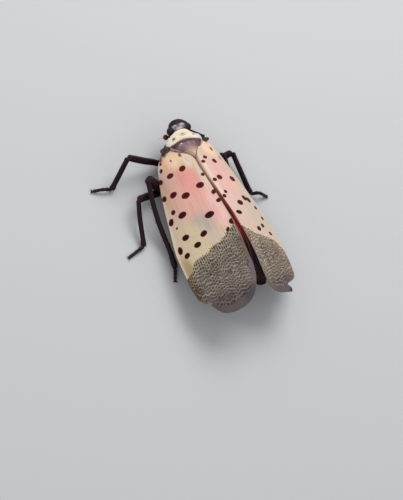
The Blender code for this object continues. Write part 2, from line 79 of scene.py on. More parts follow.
@dataclass(frozen=True)
class BodyFrame:
    """Carries points of the body frame, in millimetres, into the row frame, in metres."""

    shift: Vector

    @classmethod
    def from_pronotum(cls, front: float = -4.26) -> "BodyFrame":
        """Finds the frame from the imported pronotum, which is centred on x = 0.

        Args:
            front: y of the front edge of the pronotum.

        Returns:
            The frame of this model.
        """
        low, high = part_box("pronotum")
        return cls(Vector(((low.x + high.x) / 2 / MM, low.y / MM - front, 0.0)))

    @property
    def matrix(self) -> Matrix:
        """The transform from the body frame to the row frame."""
        return Matrix.Scale(MM, 4) @ Matrix.Translation(self.shift)

    def place(self, point: Sequence[float]) -> Vector:
        """Carries one point into the row frame."""
        return self.matrix @ Vector(point)


Array = np.ndarray
Color = tuple[float, float, float]


def linear(color: Color) -> Color:
    """Turns a colour as it looks on a screen, from 0 to 255, into the linear values of a shader."""
    return tuple(
        part / 255 / 12.92 if part < 10.3 else ((part / 255 + 0.055) / 1.055) ** 2.4 for part in color
    )


def smoothstep(low: float, high: float, value: Array) -> Array:
    """Rises softly from 0 where the value is low to 1 where it is high."""
    share = np.clip((value - low) / (high - low), 0.0, 1.0)
    return share * share * (3 - 2 * share)


def read_curve(stations: Sequence[Sequence[float]], where: Array, column: int = 1) -> Array:
    """Reads a smooth curve through stations, which never overshoots one of them.

    Args:
        stations: Rows of values that start with their place, in rising order.
        where: The places to read the curve at.
        column: Which of the values to read.

    Returns:
        The curve's values at those places.
    """
    places = np.array([station[0] for station in stations], float)
    values = np.array([station[column] for station in stations], float)
    gaps = np.diff(places)
    rises = np.diff(values) / gaps
    same_way = rises[:-1] * rises[1:] > 0
    total = np.where(same_way, rises[:-1] + rises[1:], 1.0)
    inner = np.where(same_way, 2 * rises[:-1] * rises[1:] / total, 0.0)
    slopes = np.concatenate((rises[:1], inner, rises[-1:]))
    where = np.clip(np.asarray(where, float), places[0], places[-1])
    index = np.clip(np.searchsorted(places, where, side="right") - 1, 0, len(gaps) - 1)
    share = (where - places[index]) / gaps[index]
    start = 2 * share**3 - 3 * share**2 + 1
    start_slope = share**3 - 2 * share**2 + share
    end_slope = share**3 - share**2
    return (
        start * values[index]
        + start_slope * gaps[index] * slopes[index]
        + (1 - start) * values[index + 1]
        + end_slope * gaps[index] * slopes[index + 1]
    )


@dataclass(frozen=True)
class Patch:
    """A soft-edged patch of colour on a surface, oval unless a radius is left out of account."""

    center: tuple[float, ...]
    radii: tuple[float, ...]
    color: Color
    strength: float = 1.0
    core: float = 0.3

    def paint(self, colors: Array, points: Array) -> Array:
        """Mixes the patch into the colours of some points.

        Args:
            colors: One linear colour per point.
            points: Places with as many coordinates as the patch's centre.

        Returns:
            The mixed colours.
        """
        reach = np.linalg.norm((points - np.array(self.center)) / np.array(self.radii), axis=1)
        weight = self.strength * (1 - smoothstep(self.core, 1.0, reach))
        return colors + (np.array(linear(self.color)) - colors) * weight[:, None]


def painted(points: Array, base: Color, patches: Sequence[Patch]) -> Array:
    """Colours points with a base colour and patches laid over it in their order."""
    colors = np.tile(np.array(linear(base), float), (len(points), 1))
    for patch in patches:
        colors = patch.paint(colors, points)
    return colors


@dataclass(frozen=True)
class Bump:
    """A swelling of a surface, or a raised ring where its width is given."""

    center: tuple[float, ...]
    radii: tuple[float, ...]
    height: float
    ring_width: float = 0.0

    def lift(self, points: Array) -> Array:
        """Heights of the swelling at points with as many coordinates as its centre."""
        reach = np.linalg.norm((points - np.array(self.center)) / np.array(self.radii), axis=1)
        if self.ring_width > 0:
            return self.height * np.exp(-(((reach - 1) / self.ring_width) ** 2))
        return self.height * np.exp(-(reach**2))


def relief(points: Array, bumps: Sequence[Bump]) -> Array:
    """Adds up the heights of several swellings, one column wide."""
    return np.sum([bump.lift(points) for bump in bumps], axis=0)[:, None]


class Tree:
    """A shader node tree that is being built."""

    def __init__(self, tree: bpy.types.NodeTree) -> None:
        self.tree = tree

    def add(self, kind: str, inputs: dict | None = None, **settings: object) -> bpy.types.Node:
        """Adds a node.

        Args:
            kind: The node's type without its ShaderNode prefix.
            inputs: Values or sockets for its inputs, by name or number.
            settings: The node's own properties.

        Returns:
            The node.
        """
        node = self.tree.nodes.new(f"ShaderNode{kind}")
        for key, value in settings.items():
            setattr(node, key, value)
        for key, value in (inputs or {}).items():
            if isinstance(value, bpy.types.NodeSocket):
                self.tree.links.new(value, node.inputs[key])
            else:
                node.inputs[key].default_value = value
        return node

    def math(self, operation: str, *values: object) -> bpy.types.NodeSocket:
        """Adds a math node on values or sockets."""
        return self.add("Math", dict(enumerate(values)), operation=operation).outputs[0]

    def step(self, value: object, low: object, high: object) -> bpy.types.NodeSocket:
        """Adds a soft step from 0 at low to 1 at high."""
        node = self.add("MapRange", {0: value, 1: low, 2: high}, interpolation_type="SMOOTHSTEP")
        return node.outputs[0]

    def blend(self, factor: object, first: object, second: object) -> bpy.types.NodeSocket:
        """Mixes two colours."""
        return self.add("Mix", {0: factor, 6: first, 7: second}, data_type="RGBA").outputs[2]

    def noise(self, vector: object, scale: float, detail: float = 2.0) -> bpy.types.NodeSocket:
        """Adds a noise texture."""
        return self.add("TexNoise", {"Vector": vector, "Scale": scale, "Detail": detail}).outputs[0]

    def attribute(self, name: str) -> bpy.types.Node:
        """Adds a reader of one of the mesh's attributes."""
        return self.add("Attribute", attribute_name=name)

    def stretch(self, vector: object, scale: tuple[float, float, float]) -> bpy.types.NodeSocket:
        """Scales a vector by its parts."""
        return self.add("VectorMath", {0: vector, 1: scale}, operation="MULTIPLY").outputs[0]

    def group(self, tree: bpy.types.NodeTree, inputs: dict) -> bpy.types.Node:
        """Adds a shared node group."""
        node = self.tree.nodes.new("ShaderNodeGroup")
        node.node_tree = tree
        for key, value in inputs.items():
            if isinstance(value, bpy.types.NodeSocket):
                self.tree.links.new(value, node.inputs[key])
            else:
                node.inputs[key].default_value = value
        return node


class SharedNodes:
    """The node groups that several materials use, each built when it is first asked for."""

    def __init__(self) -> None:
        self.made: dict[str, bpy.types.NodeTree] = {}

    def start(self, name: str, inputs: dict[str, str], outputs: dict[str, str]) -> tuple[Tree, bpy.types.Node, bpy.types.Node]:
        """Begins a group.

        Args:
            name: The group's name.
            inputs: Kind of each input socket, by its name.
            outputs: Kind of each output socket, by its name.

        Returns:
            The group's tree, its input node and its output node.
        """
        group = bpy.data.node_groups.new(name, "ShaderNodeTree")
        for label, kind in inputs.items():
            group.interface.new_socket(label, in_out="INPUT", socket_type=f"NodeSocket{kind}")
        for label, kind in outputs.items():
            group.interface.new_socket(label, in_out="OUTPUT", socket_type=f"NodeSocket{kind}")
        self.made[name] = group
        entry = group.nodes.new("NodeGroupInput")
        leave = group.nodes.new("NodeGroupOutput")
        return Tree(group), entry, leave

    def cuticle(self) -> bpy.types.NodeTree:
        """Fine grain of hard cuticle in object space: blotches, specks, pits and their height."""
        if "cuticle" in self.made:
            return self.made["cuticle"]
        tree, entry, leave = self.start(
            "cuticle", {"Grain": "Float"}, {"Blotch": "Float", "Speck": "Float", "Height": "Float"}
        )
        place = tree.add("TexCoord").outputs["Object"]
        place = tree.stretch(place, (1 / MM, 1 / MM, 1 / MM))
        scaled = tree.add("VectorMath", {0: place, "Scale": entry.outputs["Grain"]}, operation="SCALE").outputs[0]
        blotch = tree.noise(place, 0.9, 3.0)
        speck = tree.noise(scaled, 5.0, 4.0)
        cells = tree.add("TexVoronoi", {"Vector": scaled, "Scale": 2.6, "Randomness": 0.85})
        pits = tree.step(cells.outputs["Distance"], 0.1, 0.62)
        height = tree.math("ADD", tree.math("MULTIPLY", pits, 0.7), tree.math("MULTIPLY", speck, 0.6))
        for label, value in (("Blotch", blotch), ("Speck", speck), ("Height", height)):
            tree.tree.links.new(value, leave.inputs[label])
        return tree.tree

    def venation(self) -> bpy.types.NodeTree:
        """The network of veins in the outer third of a fore wing, from blade coordinates in mm."""
        if "venation" in self.made:
            return self.made["venation"]
        tree, entry, leave = self.start(
            "venation",
            {"Blade": "Vector", "Rim": "Float"},
            {"Long": "Float", "Cross": "Float", "Cell": "Float", "Jitter": "Float"},
        )
        blade, rim = entry.outputs["Blade"], entry.outputs["Rim"]
        parts = tree.add("SeparateXYZ", {0: blade}).outputs
        sway = tree.math("SUBTRACT", tree.noise(tree.stretch(blade, (0.25, 0.4, 1.0)), 1.0), 0.5)
        lanes = tree.math("ADD", tree.math("MULTIPLY", parts[1], 3.8), tree.math("MULTIPLY", sway, 1.8))
        lane = tree.math("FLOOR", lanes)
        aside = tree.math("ABSOLUTE", tree.math("SUBTRACT", tree.math("SUBTRACT", lanes, lane), 0.5))
        long_vein = tree.step(aside, 0.27, 0.47)
        jitter = tree.add("TexWhiteNoise", {"W": lane}, noise_dimensions="1D").outputs[0]
        wave = tree.math("SUBTRACT", tree.noise(tree.stretch(blade, (0.45, 0.8, 1.0)), 1.0, 1.0), 0.5)
        ripple = tree.math("SUBTRACT", tree.noise(tree.stretch(blade, (0.9, 2.1, 1.0)), 1.0, 1.0), 0.5)
        rows = tree.math("ADD", tree.math("MULTIPLY", parts[0], 2.45), tree.math("MULTIPLY", wave, 2.4))
        rows = tree.math("ADD", rows, tree.math("MULTIPLY", ripple, 1.7))
        rows = tree.math("ADD", rows, tree.math("MULTIPLY", jitter, 0.5))
        row = tree.math("FLOOR", rows)
        between = tree.math("ABSOLUTE", tree.math("SUBTRACT", tree.math("SUBTRACT", rows, row), 0.5))
        strength = tree.step(tree.noise(tree.stretch(blade, (1.6, 1.3, 1.0)), 1.0), 0.35, 0.62)
        nearest = tree.math("FLOOR", tree.math("ADD", rows, 0.5))
        own = tree.add("TexWhiteNoise", {"Vector": tree.add("CombineXYZ", {0: lane, 1: nearest, 2: 7.0}).outputs[0]})
        strength = tree.math("ADD", tree.math("MULTIPLY", strength, 0.5), tree.math("MULTIPLY", own.outputs[0], 0.5))
        cross_vein = tree.math("MULTIPLY", tree.step(between, 0.2, 0.46), tree.step(rim, 0.8, 1.25))
        cross_vein = tree.math("MULTIPLY", cross_vein, tree.math("ADD", tree.math("MULTIPLY", strength, 0.85), 0.15))
        cell = tree.add("TexWhiteNoise", {"Vector": tree.add("CombineXYZ", {0: lane, 1: row}).outputs[0]}).outputs[0]
        found = (("Long", long_vein), ("Cross", cross_vein), ("Cell", cell), ("Jitter", jitter))
        for label, value in found:
            tree.tree.links.new(value, leave.inputs[label])
        return tree.tree


SHARED = SharedNodes()


@dataclass(frozen=True)
class CuticleFinish:
    """A hard skin that takes its colour from the mesh's tint attribute."""

    name: str
    roughness: float = 0.45
    grain: float = 4.0
    mottle: float = 0.3
    speckle: float = 0.35
    relief: float = 0.012
    sheen: float = 0.25
    coat: float = 0.0
    scatter: float = 0.0

    def material(self) -> bpy.types.Material:
        """Builds the material."""
        material = bpy.data.materials.new(self.name)
        material.use_nodes = True
        tree = Tree(material.node_tree)
        shader = material.node_tree.nodes["Principled BSDF"]
        cuticle = tree.group(SHARED.cuticle(), {"Grain": self.grain}).outputs
        tint = tree.attribute("tint").outputs["Color"]
        shade = tree.math("MULTIPLY", tree.step(cuticle["Blotch"], 0.35, 0.7), self.mottle)
        fleck = tree.math("MULTIPLY", tree.step(cuticle["Speck"], 0.45, 0.75), self.speckle)
        dark = tree.stretch(tint, (0.62, 0.58, 0.56))
        light = tree.stretch(tint, (1.3, 1.3, 1.32))
        color = tree.blend(fleck, tree.blend(shade, tint, dark), light)
        bump = tree.add("Bump", {"Height": cuticle["Height"], "Distance": self.relief * MM, "Strength": 0.8})
        tree.tree.links.new(color, shader.inputs["Base Color"])
        tree.tree.links.new(bump.outputs[0], shader.inputs["Normal"])
        rough = tree.math("ADD", tree.math("MULTIPLY", cuticle["Speck"], 0.2), self.roughness - 0.1)
        tree.tree.links.new(rough, shader.inputs["Roughness"])
        shader.inputs["Specular IOR Level"].default_value = self.sheen
        shader.inputs["Coat Weight"].default_value = self.coat
        shader.inputs["Coat Roughness"].default_value = 0.2
        shader.inputs["Subsurface Weight"].default_value = self.scatter
        shader.inputs["Subsurface Scale"].default_value = 0.2 * MM
        return material


@dataclass(frozen=True)
class WingFinish:
    """A fore wing: painted blade, inked spots and a net of pale veins over dark cells."""

    name: str
    spot_edge: Color = (96, 20, 26)
    spot_core: Color = (72, 4, 20)
    spot_basal: Color = (92, 42, 22)

    def material(self) -> bpy.types.Material:
        """Builds the material."""
        material = bpy.data.materials.new(self.name)
        material.use_nodes = True
        tree = Tree(material.node_tree)
        shader = material.node_tree.nodes["Principled BSDF"]
        blade = tree.add("UVMap", uv_map="blade").outputs[0]
        tint = tree.attribute("tint").outputs["Color"]
        beyond = tree.attribute("beyond").outputs["Fac"]
        rim = tree.attribute("rim").outputs["Fac"]
        net = tree.group(SHARED.venation(), {"Blade": blade, "Rim": rim}).outputs
        ragged = tree.math("ADD", beyond, tree.math("MULTIPLY", tree.math("SUBTRACT", net["Jitter"], 0.5), 0.5))
        apical = tree.step(ragged, -0.06, 0.08)
        island = tree.math("SUBTRACT", tree.noise(tree.stretch(blade, (0.55, 0.75, 1.0)), 1.0), 0.5)
        near = tree.step(ragged, 2.2, 0.1)
        deep = tree.step(tree.math("SUBTRACT", ragged, tree.math("MULTIPLY", island, 16.0)), 2.6, 0.1)
        streak = tree.noise(tree.stretch(blade, (0.35, 5.0, 1.0)), 1.0, 3.0)
        disc = tree.blend(tree.step(streak, 0.45, 0.8), tint, tree.stretch(tint, (1.06, 1.08, 1.08)))
        disc = tree.blend(tree.step(streak, 0.55, 0.25), disc, tree.stretch(tint, (0.95, 0.92, 0.9)))
        dust = tree.step(tree.noise(tree.stretch(blade, (4.0, 7.0, 1.0)), 1.0, 3.0), 0.35, 0.7)
        disc = tree.blend(tree.math("MULTIPLY", dust, 0.5), disc, tree.stretch(disc, (0.88, 0.85, 0.82)))
        long_vein = tree.math("MULTIPLY", net["Long"], tree.math("ADD", tree.math("MULTIPLY", near, 0.5), 0.3))
        veins = tree.math("MAXIMUM", long_vein, net["Cross"])
        dark = tree.blend(deep, tree.stretch(tint, (0.42, 0.39, 0.35)), tree.stretch(tint, (0.18, 0.14, 0.1)))
        cell = tree.blend(tree.math("MULTIPLY", net["Cell"], 0.55), dark, tree.stretch(tint, (0.95, 0.93, 0.9)))
        pale = tree.blend(near, tree.stretch(tint, (2.1, 2.2, 2.2)), tree.stretch(tint, (2.9, 2.9, 2.5)))
        plain = tree.step(rim, 1.25, 0.85)
        faint = tree.step(tree.noise(tree.stretch(blade, (0.6, 1.2, 1.0)), 1.0), 0.35, 0.65)
        lines = tree.math("MULTIPLY", net["Long"], tree.math("ADD", tree.math("MULTIPLY", faint, 0.25), 0.1))
        lines = tree.math("SUBTRACT", 1.0, lines)
        cell = tree.blend(plain, cell, tree.add("VectorMath", {0: tint, "Scale": lines}, operation="SCALE").outputs[0])
        lace = tree.blend(tree.math("MULTIPLY", veins, tree.step(rim, 0.8, 1.25)), cell, pale)
        color = tree.blend(apical, disc, lace)
        spot = tree.attribute("spot").outputs["Fac"]
        edge = tree.math("SUBTRACT", tree.noise(tree.stretch(blade, (3.0, 3.0, 1.0)), 1.0), 0.5)
        reach = tree.math("ADD", spot, tree.math("MULTIPLY", edge, 0.09))
        ink = tree.step(reach, 0.035, -0.035)
        core = tree.step(reach, -0.06, -0.3)
        along = tree.add("SeparateXYZ", {0: blade}).outputs[0]
        mark = tree.blend(core, (*linear(self.spot_edge), 1.0), (*linear(self.spot_core), 1.0))
        mark = tree.blend(tree.step(along, 4.0, 1.5), mark, (*linear(self.spot_basal), 1.0))
        mark = tree.blend(tree.step(along, 6.0, 9.0), mark, tree.stretch(mark, (0.45, 0.4, 0.45)))
        color = tree.blend(ink, color, mark)
        tree.tree.links.new(color, shader.inputs["Base Color"])
        raised = tree.math("MULTIPLY", veins, apical)
        height = tree.math("ADD", raised, tree.math("MULTIPLY", streak, 0.35))
        bump = tree.add("Bump", {"Height": height, "Distance": 0.03 * MM, "Strength": 0.8})
        tree.tree.links.new(bump.outputs[0], shader.inputs["Normal"])
        shader.inputs["Roughness"].default_value = 0.55
        shader.inputs["Specular IOR Level"].default_value = 0.12
        return material


def grid_mesh(columns: int, rows: int, surface: Callable[[Array, Array], Array]) -> tuple[bmesh.types.BMesh, Array, Array]:
    """A sheet of quads carried to a surface.

    Args:
        columns: Number of quads along u.
        rows: Number of quads along v.
        surface: Gives the places for arrays of u and v, both from 0 to 1.

    Returns:
        The mesh and the u and v of its vertices.
    """
    body = bmesh.new()
    bmesh.ops.create_grid(body, x_segments=columns, y_segments=rows, size=0.5)
    flat = np.array([vert.co for vert in body.verts]) + 0.5
    u, v = flat[:, 0], flat[:, 1]
    for vert, place in zip(body.verts, surface(u, v)):
        vert.co = place
    return body, u, v


def closed_tube(sides: int, steps: int, surface: Callable[[Array, Array], Array]) -> bmesh.types.BMesh:
    """A closed skin: u runs round it and meets itself, v runs along it and closes at both ends.

    Args:
        sides: Number of quads round it.
        steps: Number of quads along it.
        surface: Gives the places for arrays of u and v, both from 0 to 1.

    Returns:
        The mesh, with its faces outwards.
    """
    body, _, _ = grid_mesh(sides, steps, surface)
    bmesh.ops.remove_doubles(body, verts=body.verts[:], dist=1e-5)
    open_edges = [edge for edge in body.edges if edge.is_boundary]
    if open_edges:
        bmesh.ops.holes_fill(body, edges=open_edges, sides=0)
    bmesh.ops.recalc_face_normals(body, faces=body.faces[:])
    return body


def thicken(sheet: bmesh.types.BMesh, depths: Array) -> None:
    """Gives a sheet a lower face.

    Args:
        sheet: The open sheet, whose faces become the upper face.
        depths: One vector per vertex, from the lower face to the upper one.
    """
    lower = sheet.verts[:]
    bmesh.ops.extrude_face_region(sheet, geom=sheet.faces[:])
    for vert, depth in zip(lower, depths):
        vert.co -= Vector(depth)
    bmesh.ops.recalc_face_normals(sheet, faces=sheet.faces[:])


def places_of(body: bmesh.types.BMesh) -> Array:
    """The places of a mesh's vertices."""
    return np.array([vert.co for vert in body.verts])


def set_values(body: bmesh.types.BMesh, name: str, values: Array) -> None:
    """Stores one number per vertex in a float attribute."""
    layer = body.verts.layers.float.new(name)
    for vert, value in zip(body.verts, values):
        vert[layer] = value


def set_colors(body: bmesh.types.BMesh, colors: Array, name: str = "tint") -> None:
    """Stores one linear colour per vertex in a colour attribute."""
    layer = body.verts.layers.float_color.new(name)
    for vert, color in zip(body.verts, colors):
        vert[layer] = (*color, 1.0)


def finish_piece(
    name: str, body: bmesh.types.BMesh, frame: BodyFrame, material: bpy.types.Material, nodes: Sequence[str]
) -> bpy.types.Object:
    """Turns a mesh in the body frame into a finished piece of the model.

    Args:
        name: The piece's name.
        body: Its mesh, which is used up.
        frame: Where the body frame lies.
        material: Its material.
        nodes: The CAD nodes it stands for.

    Returns:
        The piece.
    """
    body.transform(frame.matrix)
    mesh = bpy.data.meshes.new(name)
    body.to_mesh(mesh)
    body.free()
    mesh.shade_smooth()
    mesh.materials.append(material)
    piece = bpy.data.objects.new(name, mesh)
    bpy.context.scene.collection.objects.link(piece)
    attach(piece, "root")
    if nodes:
        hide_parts(*nodes)
    log.info("%s: %d faces, stands for %s", name, len(mesh.polygons), ", ".join(nodes) or "nothing")
    return piece


@dataclass(frozen=True)
class Blade:
    """The shape and pose of one fore wing, as in the CAD part."""

    side: int
    root: tuple[float, float, float]
    yaw: float
    rise: float
    slope: float
    droop: float
    twist: float
    tip: float
    inner: tuple[tuple[float, float], ...]
    cut: tuple[tuple[float, float], ...]
    inner_round: float = 2.5
    costal_round: float = 2.0
    length: float = 20.85
    apex_start: float = 0.75
    costal: tuple[tuple[float, float], ...] = (
        (0.0, 3.75), (0.06, 4.8), (0.2, 5.96), (0.4, 7.1), (0.6, 7.96), (0.75, 8.01),
    )
    arch_radius: float = 13.94
    arch_center: float = 4.0
    twist_center: float = 8.0
    twist_span: float = 10.0
    droop_start: float = 9.0
    droop_span: float = 12.0

    def point(self, along: Array, across: Array) -> Array:
        """Points on the upper surface, along from the root and across from the ridge line."""
        turn = self.slope - self.arch_center / self.arch_radius
        turn = turn + self.twist * (along - self.twist_center) / self.twist_span
        angle = turn + across / self.arch_radius
        outward = self.arch_radius * (np.sin(angle) - np.sin(turn))
        fall = self.arch_radius * (np.cos(turn) - np.cos(angle))
        droop = self.droop * np.maximum((along - self.droop_start) / self.droop_span, 0.0) ** 2
        backward = along * math.cos(self.rise)
        height = along * math.sin(self.rise) - fall - droop
        x = outward * math.cos(self.yaw) + backward * math.sin(self.yaw)
        y = backward * math.cos(self.yaw) - outward * math.sin(self.yaw)
        return np.stack((self.side * x, y, height), axis=1) + np.array(self.root)

    def margins(self, along: Array, turn: Array) -> tuple[Array, Array]:
        """Distances of the inner and the costal margin from the ridge line.

        Args:
            along: Distances along the blade.
            turn: How far each place is round the apex, from 0 to a quarter turn.

        Returns:
            The inner and the costal distances.
        """
        share = along / self.length
        reach = np.sin(turn)
        inner_width = (1 - reach**self.inner_round) ** (1 / self.inner_round)
        costal_width = (1 - reach**self.costal_round) ** (1 / self.costal_round)
        inner = self.tip + (read_curve(self.inner, share) - self.tip) * inner_width
        costal = self.tip + (read_curve(self.costal, share) - self.tip) * costal_width
        limit = np.where(along > self.cut[0][0], read_curve(self.cut, along), costal)
        return inner, np.maximum(np.minimum(costal, limit), inner + 0.05)

    def normals(self, along: Array, across: Array) -> Array:
        """Upward unit normals of the upper surface."""
        step = 0.01
        base = self.point(along, across)
        normal = np.cross(self.point(along + step, across) - base, self.point(along, across + step) - base)
        normal /= np.linalg.norm(normal, axis=1)[:, None]
        return normal * np.sign(normal[:, 2:3])


@dataclass(frozen=True)
class Spot:
    """A dark oval on a fore wing: its centre, half axes and tilt from the blade's length, in degrees."""

    along: float
    across: float
    long: float
    short: float
    tilt: float = 90.0

    def distance(self, along: Array, across: Array) -> Array:
        """Signed distance from the oval's edge, negative inside, good close to the edge."""
        turn = math.radians(self.tilt)
        first = (along - self.along) * math.cos(turn) + (across - self.across) * math.sin(turn)
        second = (across - self.across) * math.cos(turn) - (along - self.along) * math.sin(turn)
        reach = np.hypot(first / self.long, second / self.short)
        slope = np.hypot(first / self.long**2, second / self.short**2) / np.maximum(reach, 1e-6)
        return (reach - 1) / np.maximum(slope, 1.0)


@dataclass(frozen=True)
class ForeWing:
    """One fore wing."""

    word: str
    blade: Blade
    spots: tuple[Spot, ...]
    patches: tuple[Patch, ...]
    outer_patches: tuple[Patch, ...]
    boundary: tuple[tuple[float, float], ...]
    base: Color = (220, 192, 166)
    outer: Color = (124, 114, 103)
    edge: Color = (244, 232, 216)
    # painted shade of the crease where the two wings meet: brown near the root, the dark red of the hind wing further
    # back
    seam_shade: Color = (172, 130, 104)
    seam_red: Color = (116, 44, 44)
    start: float = 0.02
    thickness: float = 0.1
    vein_shares: tuple[float, ...] = (0.13, 0.34, 0.56, 0.78)
    vein_height: float = 0.018
    fold_depth: float = 0.06
    columns: int = 96
    rows: int = 230
    apex_share: float = 0.34
    last_turn: float = math.radians(89)
    rim_widths: tuple[tuple[float, float], ...] = (
        (-90.0, 0.34), (-45.0, 0.55), (-10.0, 0.9), (14.0, 0.75), (40.0, 0.25), (90.0, 0.15),
    )

    def coordinates(self, u: Array, v: Array) -> tuple[Array, Array, Array]:
        """Blade coordinates of the sheet.

        Args:
            u: Share of the chord, from the ridge to the costal margin.
            v: Share of the rows, from the root to the tip.

        Returns:
            Distance along, distance across, and distance from the margin as a share of its plain rim.
        """
        blade = self.blade
        apex = blade.length * blade.apex_start
        straight = self.start + (apex - self.start) * v / (1 - self.apex_share)
        turn = np.clip((v - 1 + self.apex_share) / self.apex_share, 0.0, 1.0) * self.last_turn
        along = np.where(turn > 0, apex + (blade.length - apex) * np.sin(turn), straight)
        inner, costal = blade.margins(along, turn)
        across = inner + (costal - inner) * u**1.25
        beyond = np.maximum(along - apex, 0.0)
        inward = across < blade.tip
        half = np.where(inward, blade.tip, blade.costal[-1][1] - blade.tip)
        power = np.where(inward, blade.inner_round, blade.costal_round)
        reach = (beyond / (blade.length - apex)) ** power + (np.abs(across - blade.tip) / half) ** power
        oval = (1 - reach ** (1 / power)) * (blade.length - apex)
        depth = np.minimum(np.minimum(across - inner, costal - across), np.where(beyond > 0, oval, 9.0))
        around = np.degrees(np.arctan2(across - blade.tip, beyond))
        width = read_curve(self.rim_widths, around) * (0.3 + 0.7 * smoothstep(11.5, 15.5, along))
        return along, across, depth / width

    def fan(self, along: Array, across: Array) -> Array:
        """Distances across that spread towards the tip, as the veins do."""
        spread = 1 - 0.006 * np.maximum(along - 13.0, 0.0) ** 2
        return self.blade.tip + (across - self.blade.tip) * spread

    def surface(self, u: Array, v: Array) -> Array:
        """Places of the upper face, with the main veins raised."""
        along, across, _ = self.coordinates(u, v)
        lift = np.zeros_like(u)
        for share in self.vein_shares:
            lift += np.exp(-(((u - share) / 0.012) ** 2))
        fade = smoothstep(0.3, 2.0, along) * (1 - 0.85 * smoothstep(11.0, 15.0, along))
        lift = lift * fade * self.vein_height - self.sink(along, across)
        return self.blade.point(along, across) + self.blade.normals(along, across) * lift[:, None]

    def sink(self, along: Array, across: Array) -> Array:
        """Depth of the groove along the clavus and of the turned-down inner margin."""
        inner, _ = self.blade.margins(along, np.zeros_like(along))
        line = inner + 1.0 - 0.06 * along
        groove = np.exp(-(((across - line) / 0.06) ** 2)) * (1 - smoothstep(8.0, 10.0, along))
        fold = smoothstep(0.09, 0.0, across - inner) * smoothstep(1.2, 2.6, along) * smoothstep(12.0, 8.0, along)
        return 0.03 * groove + self.fold_depth * fold

    def build(self, frame: BodyFrame) -> None:
        """Makes the wing."""
        sheet, u, v = grid_mesh(self.columns, self.rows, self.surface)
        along, across, rim = self.coordinates(u, v)
        beyond = along - read_curve(self.boundary, across)
        spot = np.min([item.distance(along, across) for item in self.spots], axis=0)
        ridge, costal = self.blade.margins(along, np.zeros_like(along))
        spot = np.maximum(spot, 0.09 - (across - ridge))
        places = np.stack((along, across), axis=1)
        colors = painted(places, self.base, self.patches)
        pale = smoothstep(0.42, 0.12, costal - across) * smoothstep(3.5, 6.0, along) * 0.55
        colors += (np.array(linear(self.edge)) - colors) * pale[:, None]
        outer = painted(places, self.outer, self.outer_patches)
        share = smoothstep(-0.1, 0.1, beyond)[:, None]
        colors = colors * (1 - share) + outer * share
        # paints the shade of the crease along the inner margin, brown near the root and dark red where the hind wing
        # shows
        wide = 0.05 + 0.11 * smoothstep(4.0, 9.5, along)
        seam_shade = (1 - smoothstep(0.35, 1.0, (across - ridge) / wide)) * smoothstep(13.0, 10.0, along)
        red = smoothstep(3.0, 8.0, along)[:, None]
        line = np.array(linear(self.seam_shade)) * (1 - red) + np.array(linear(self.seam_red)) * red
        set_colors(sheet, colors + (line - colors) * seam_shade[:, None])
        set_values(sheet, "beyond", beyond)
        set_values(sheet, "rim", rim)
        set_values(sheet, "spot", spot)
        spread = self.fan(along, across)
        uv = sheet.loops.layers.uv.new("blade")
        for face in sheet.faces:
            for loop in face.loops:
                index = loop.vert.index
                loop[uv].uv = (along[index], spread[index])
        thicken(sheet, self.blade.normals(along, across) * self.thickness)
        name = f"fore_wing_{self.word}"
        finish_piece(f"{name}_skin", sheet, frame, WingFinish(name).material(), [name])



@dataclass(frozen=True)
class HindWing:
    """One hind wing, folded in pleats under the fore wing."""

    word: str
    blade: Blade
    # The overhang widens towards the tips, where the hind wing's own dark membrane fills the gap between the fore wing
    # tips and also stands in for the shade there.
    overhang: tuple[tuple[float, float], ...]
    from_along: float = 3.2
    to_along: float = 19.4
    depth: float = 0.86
    seam_depth: float = 0.2
    pleats: int = 7
    pleat_height: float = 0.14
    thickness: float = 0.1
    red: Color = (168, 14, 22)
    patches: tuple[Patch, ...] = (
        Patch((19.4, 3.0), (9.4, 12.0), (40, 12, 16), 1.0, 0.5),
        Patch((6.0, 1.9), (0.5, 0.4), (24, 12, 14), 1.0, 0.7),
        Patch((8.2, 3.2), (0.6, 0.4), (24, 12, 14), 1.0, 0.7),
        Patch((9.6, 1.7), (0.5, 0.4), (24, 12, 14), 1.0, 0.7),
        Patch((11.4, 2.9), (0.5, 0.45), (24, 12, 14), 1.0, 0.7),
    )

    def coordinates(self, u: Array, v: Array) -> tuple[Array, Array]:
        """Blade coordinates of the folded wing."""
        along = self.from_along + (self.to_along - self.from_along) * v
        apex = self.blade.length * self.blade.apex_start
        turn = np.arcsin(np.clip((along - apex) / (self.blade.length - apex), 0.0, 1.0))
        inner, costal = self.blade.margins(along, turn)
        start = inner - read_curve(self.overhang, along)
        return along, start + (costal - inner) * 0.56 * np.sqrt(np.maximum(1 - v**8, 0.04)) * u

    def surface(self, u: Array, v: Array) -> Array:
        """Places of the upper face."""
        along, across = self.coordinates(u, v)
        cup = smoothstep(0.06, 0.3, u)
        edge = self.seam_depth + 0.5 * np.maximum(read_curve(self.overhang, along) - 0.4, 0.0)
        sink = edge + (self.depth - edge) * cup
        fold = self.pleat_height * np.abs(np.sin(math.pi * self.pleats * u)) * cup
        return self.blade.point(along, across) - self.blade.normals(along, across) * (sink + fold)[:, None]

    def build(self, frame: BodyFrame) -> None:
        """Makes the wing."""
        sheet, u, v = grid_mesh(56, 90, self.surface)
        along, across = self.coordinates(u, v)
        set_colors(sheet, painted(np.stack((along, across), axis=1), self.red, self.patches))
        thicken(sheet, self.blade.normals(along, across) * self.thickness)
        name = f"hind_wing_{self.word}"
        finish = CuticleFinish(name, roughness=0.5, grain=3.0, relief=0.01)
        finish_piece(f"{name}_skin", sheet, frame, finish.material(), [name])


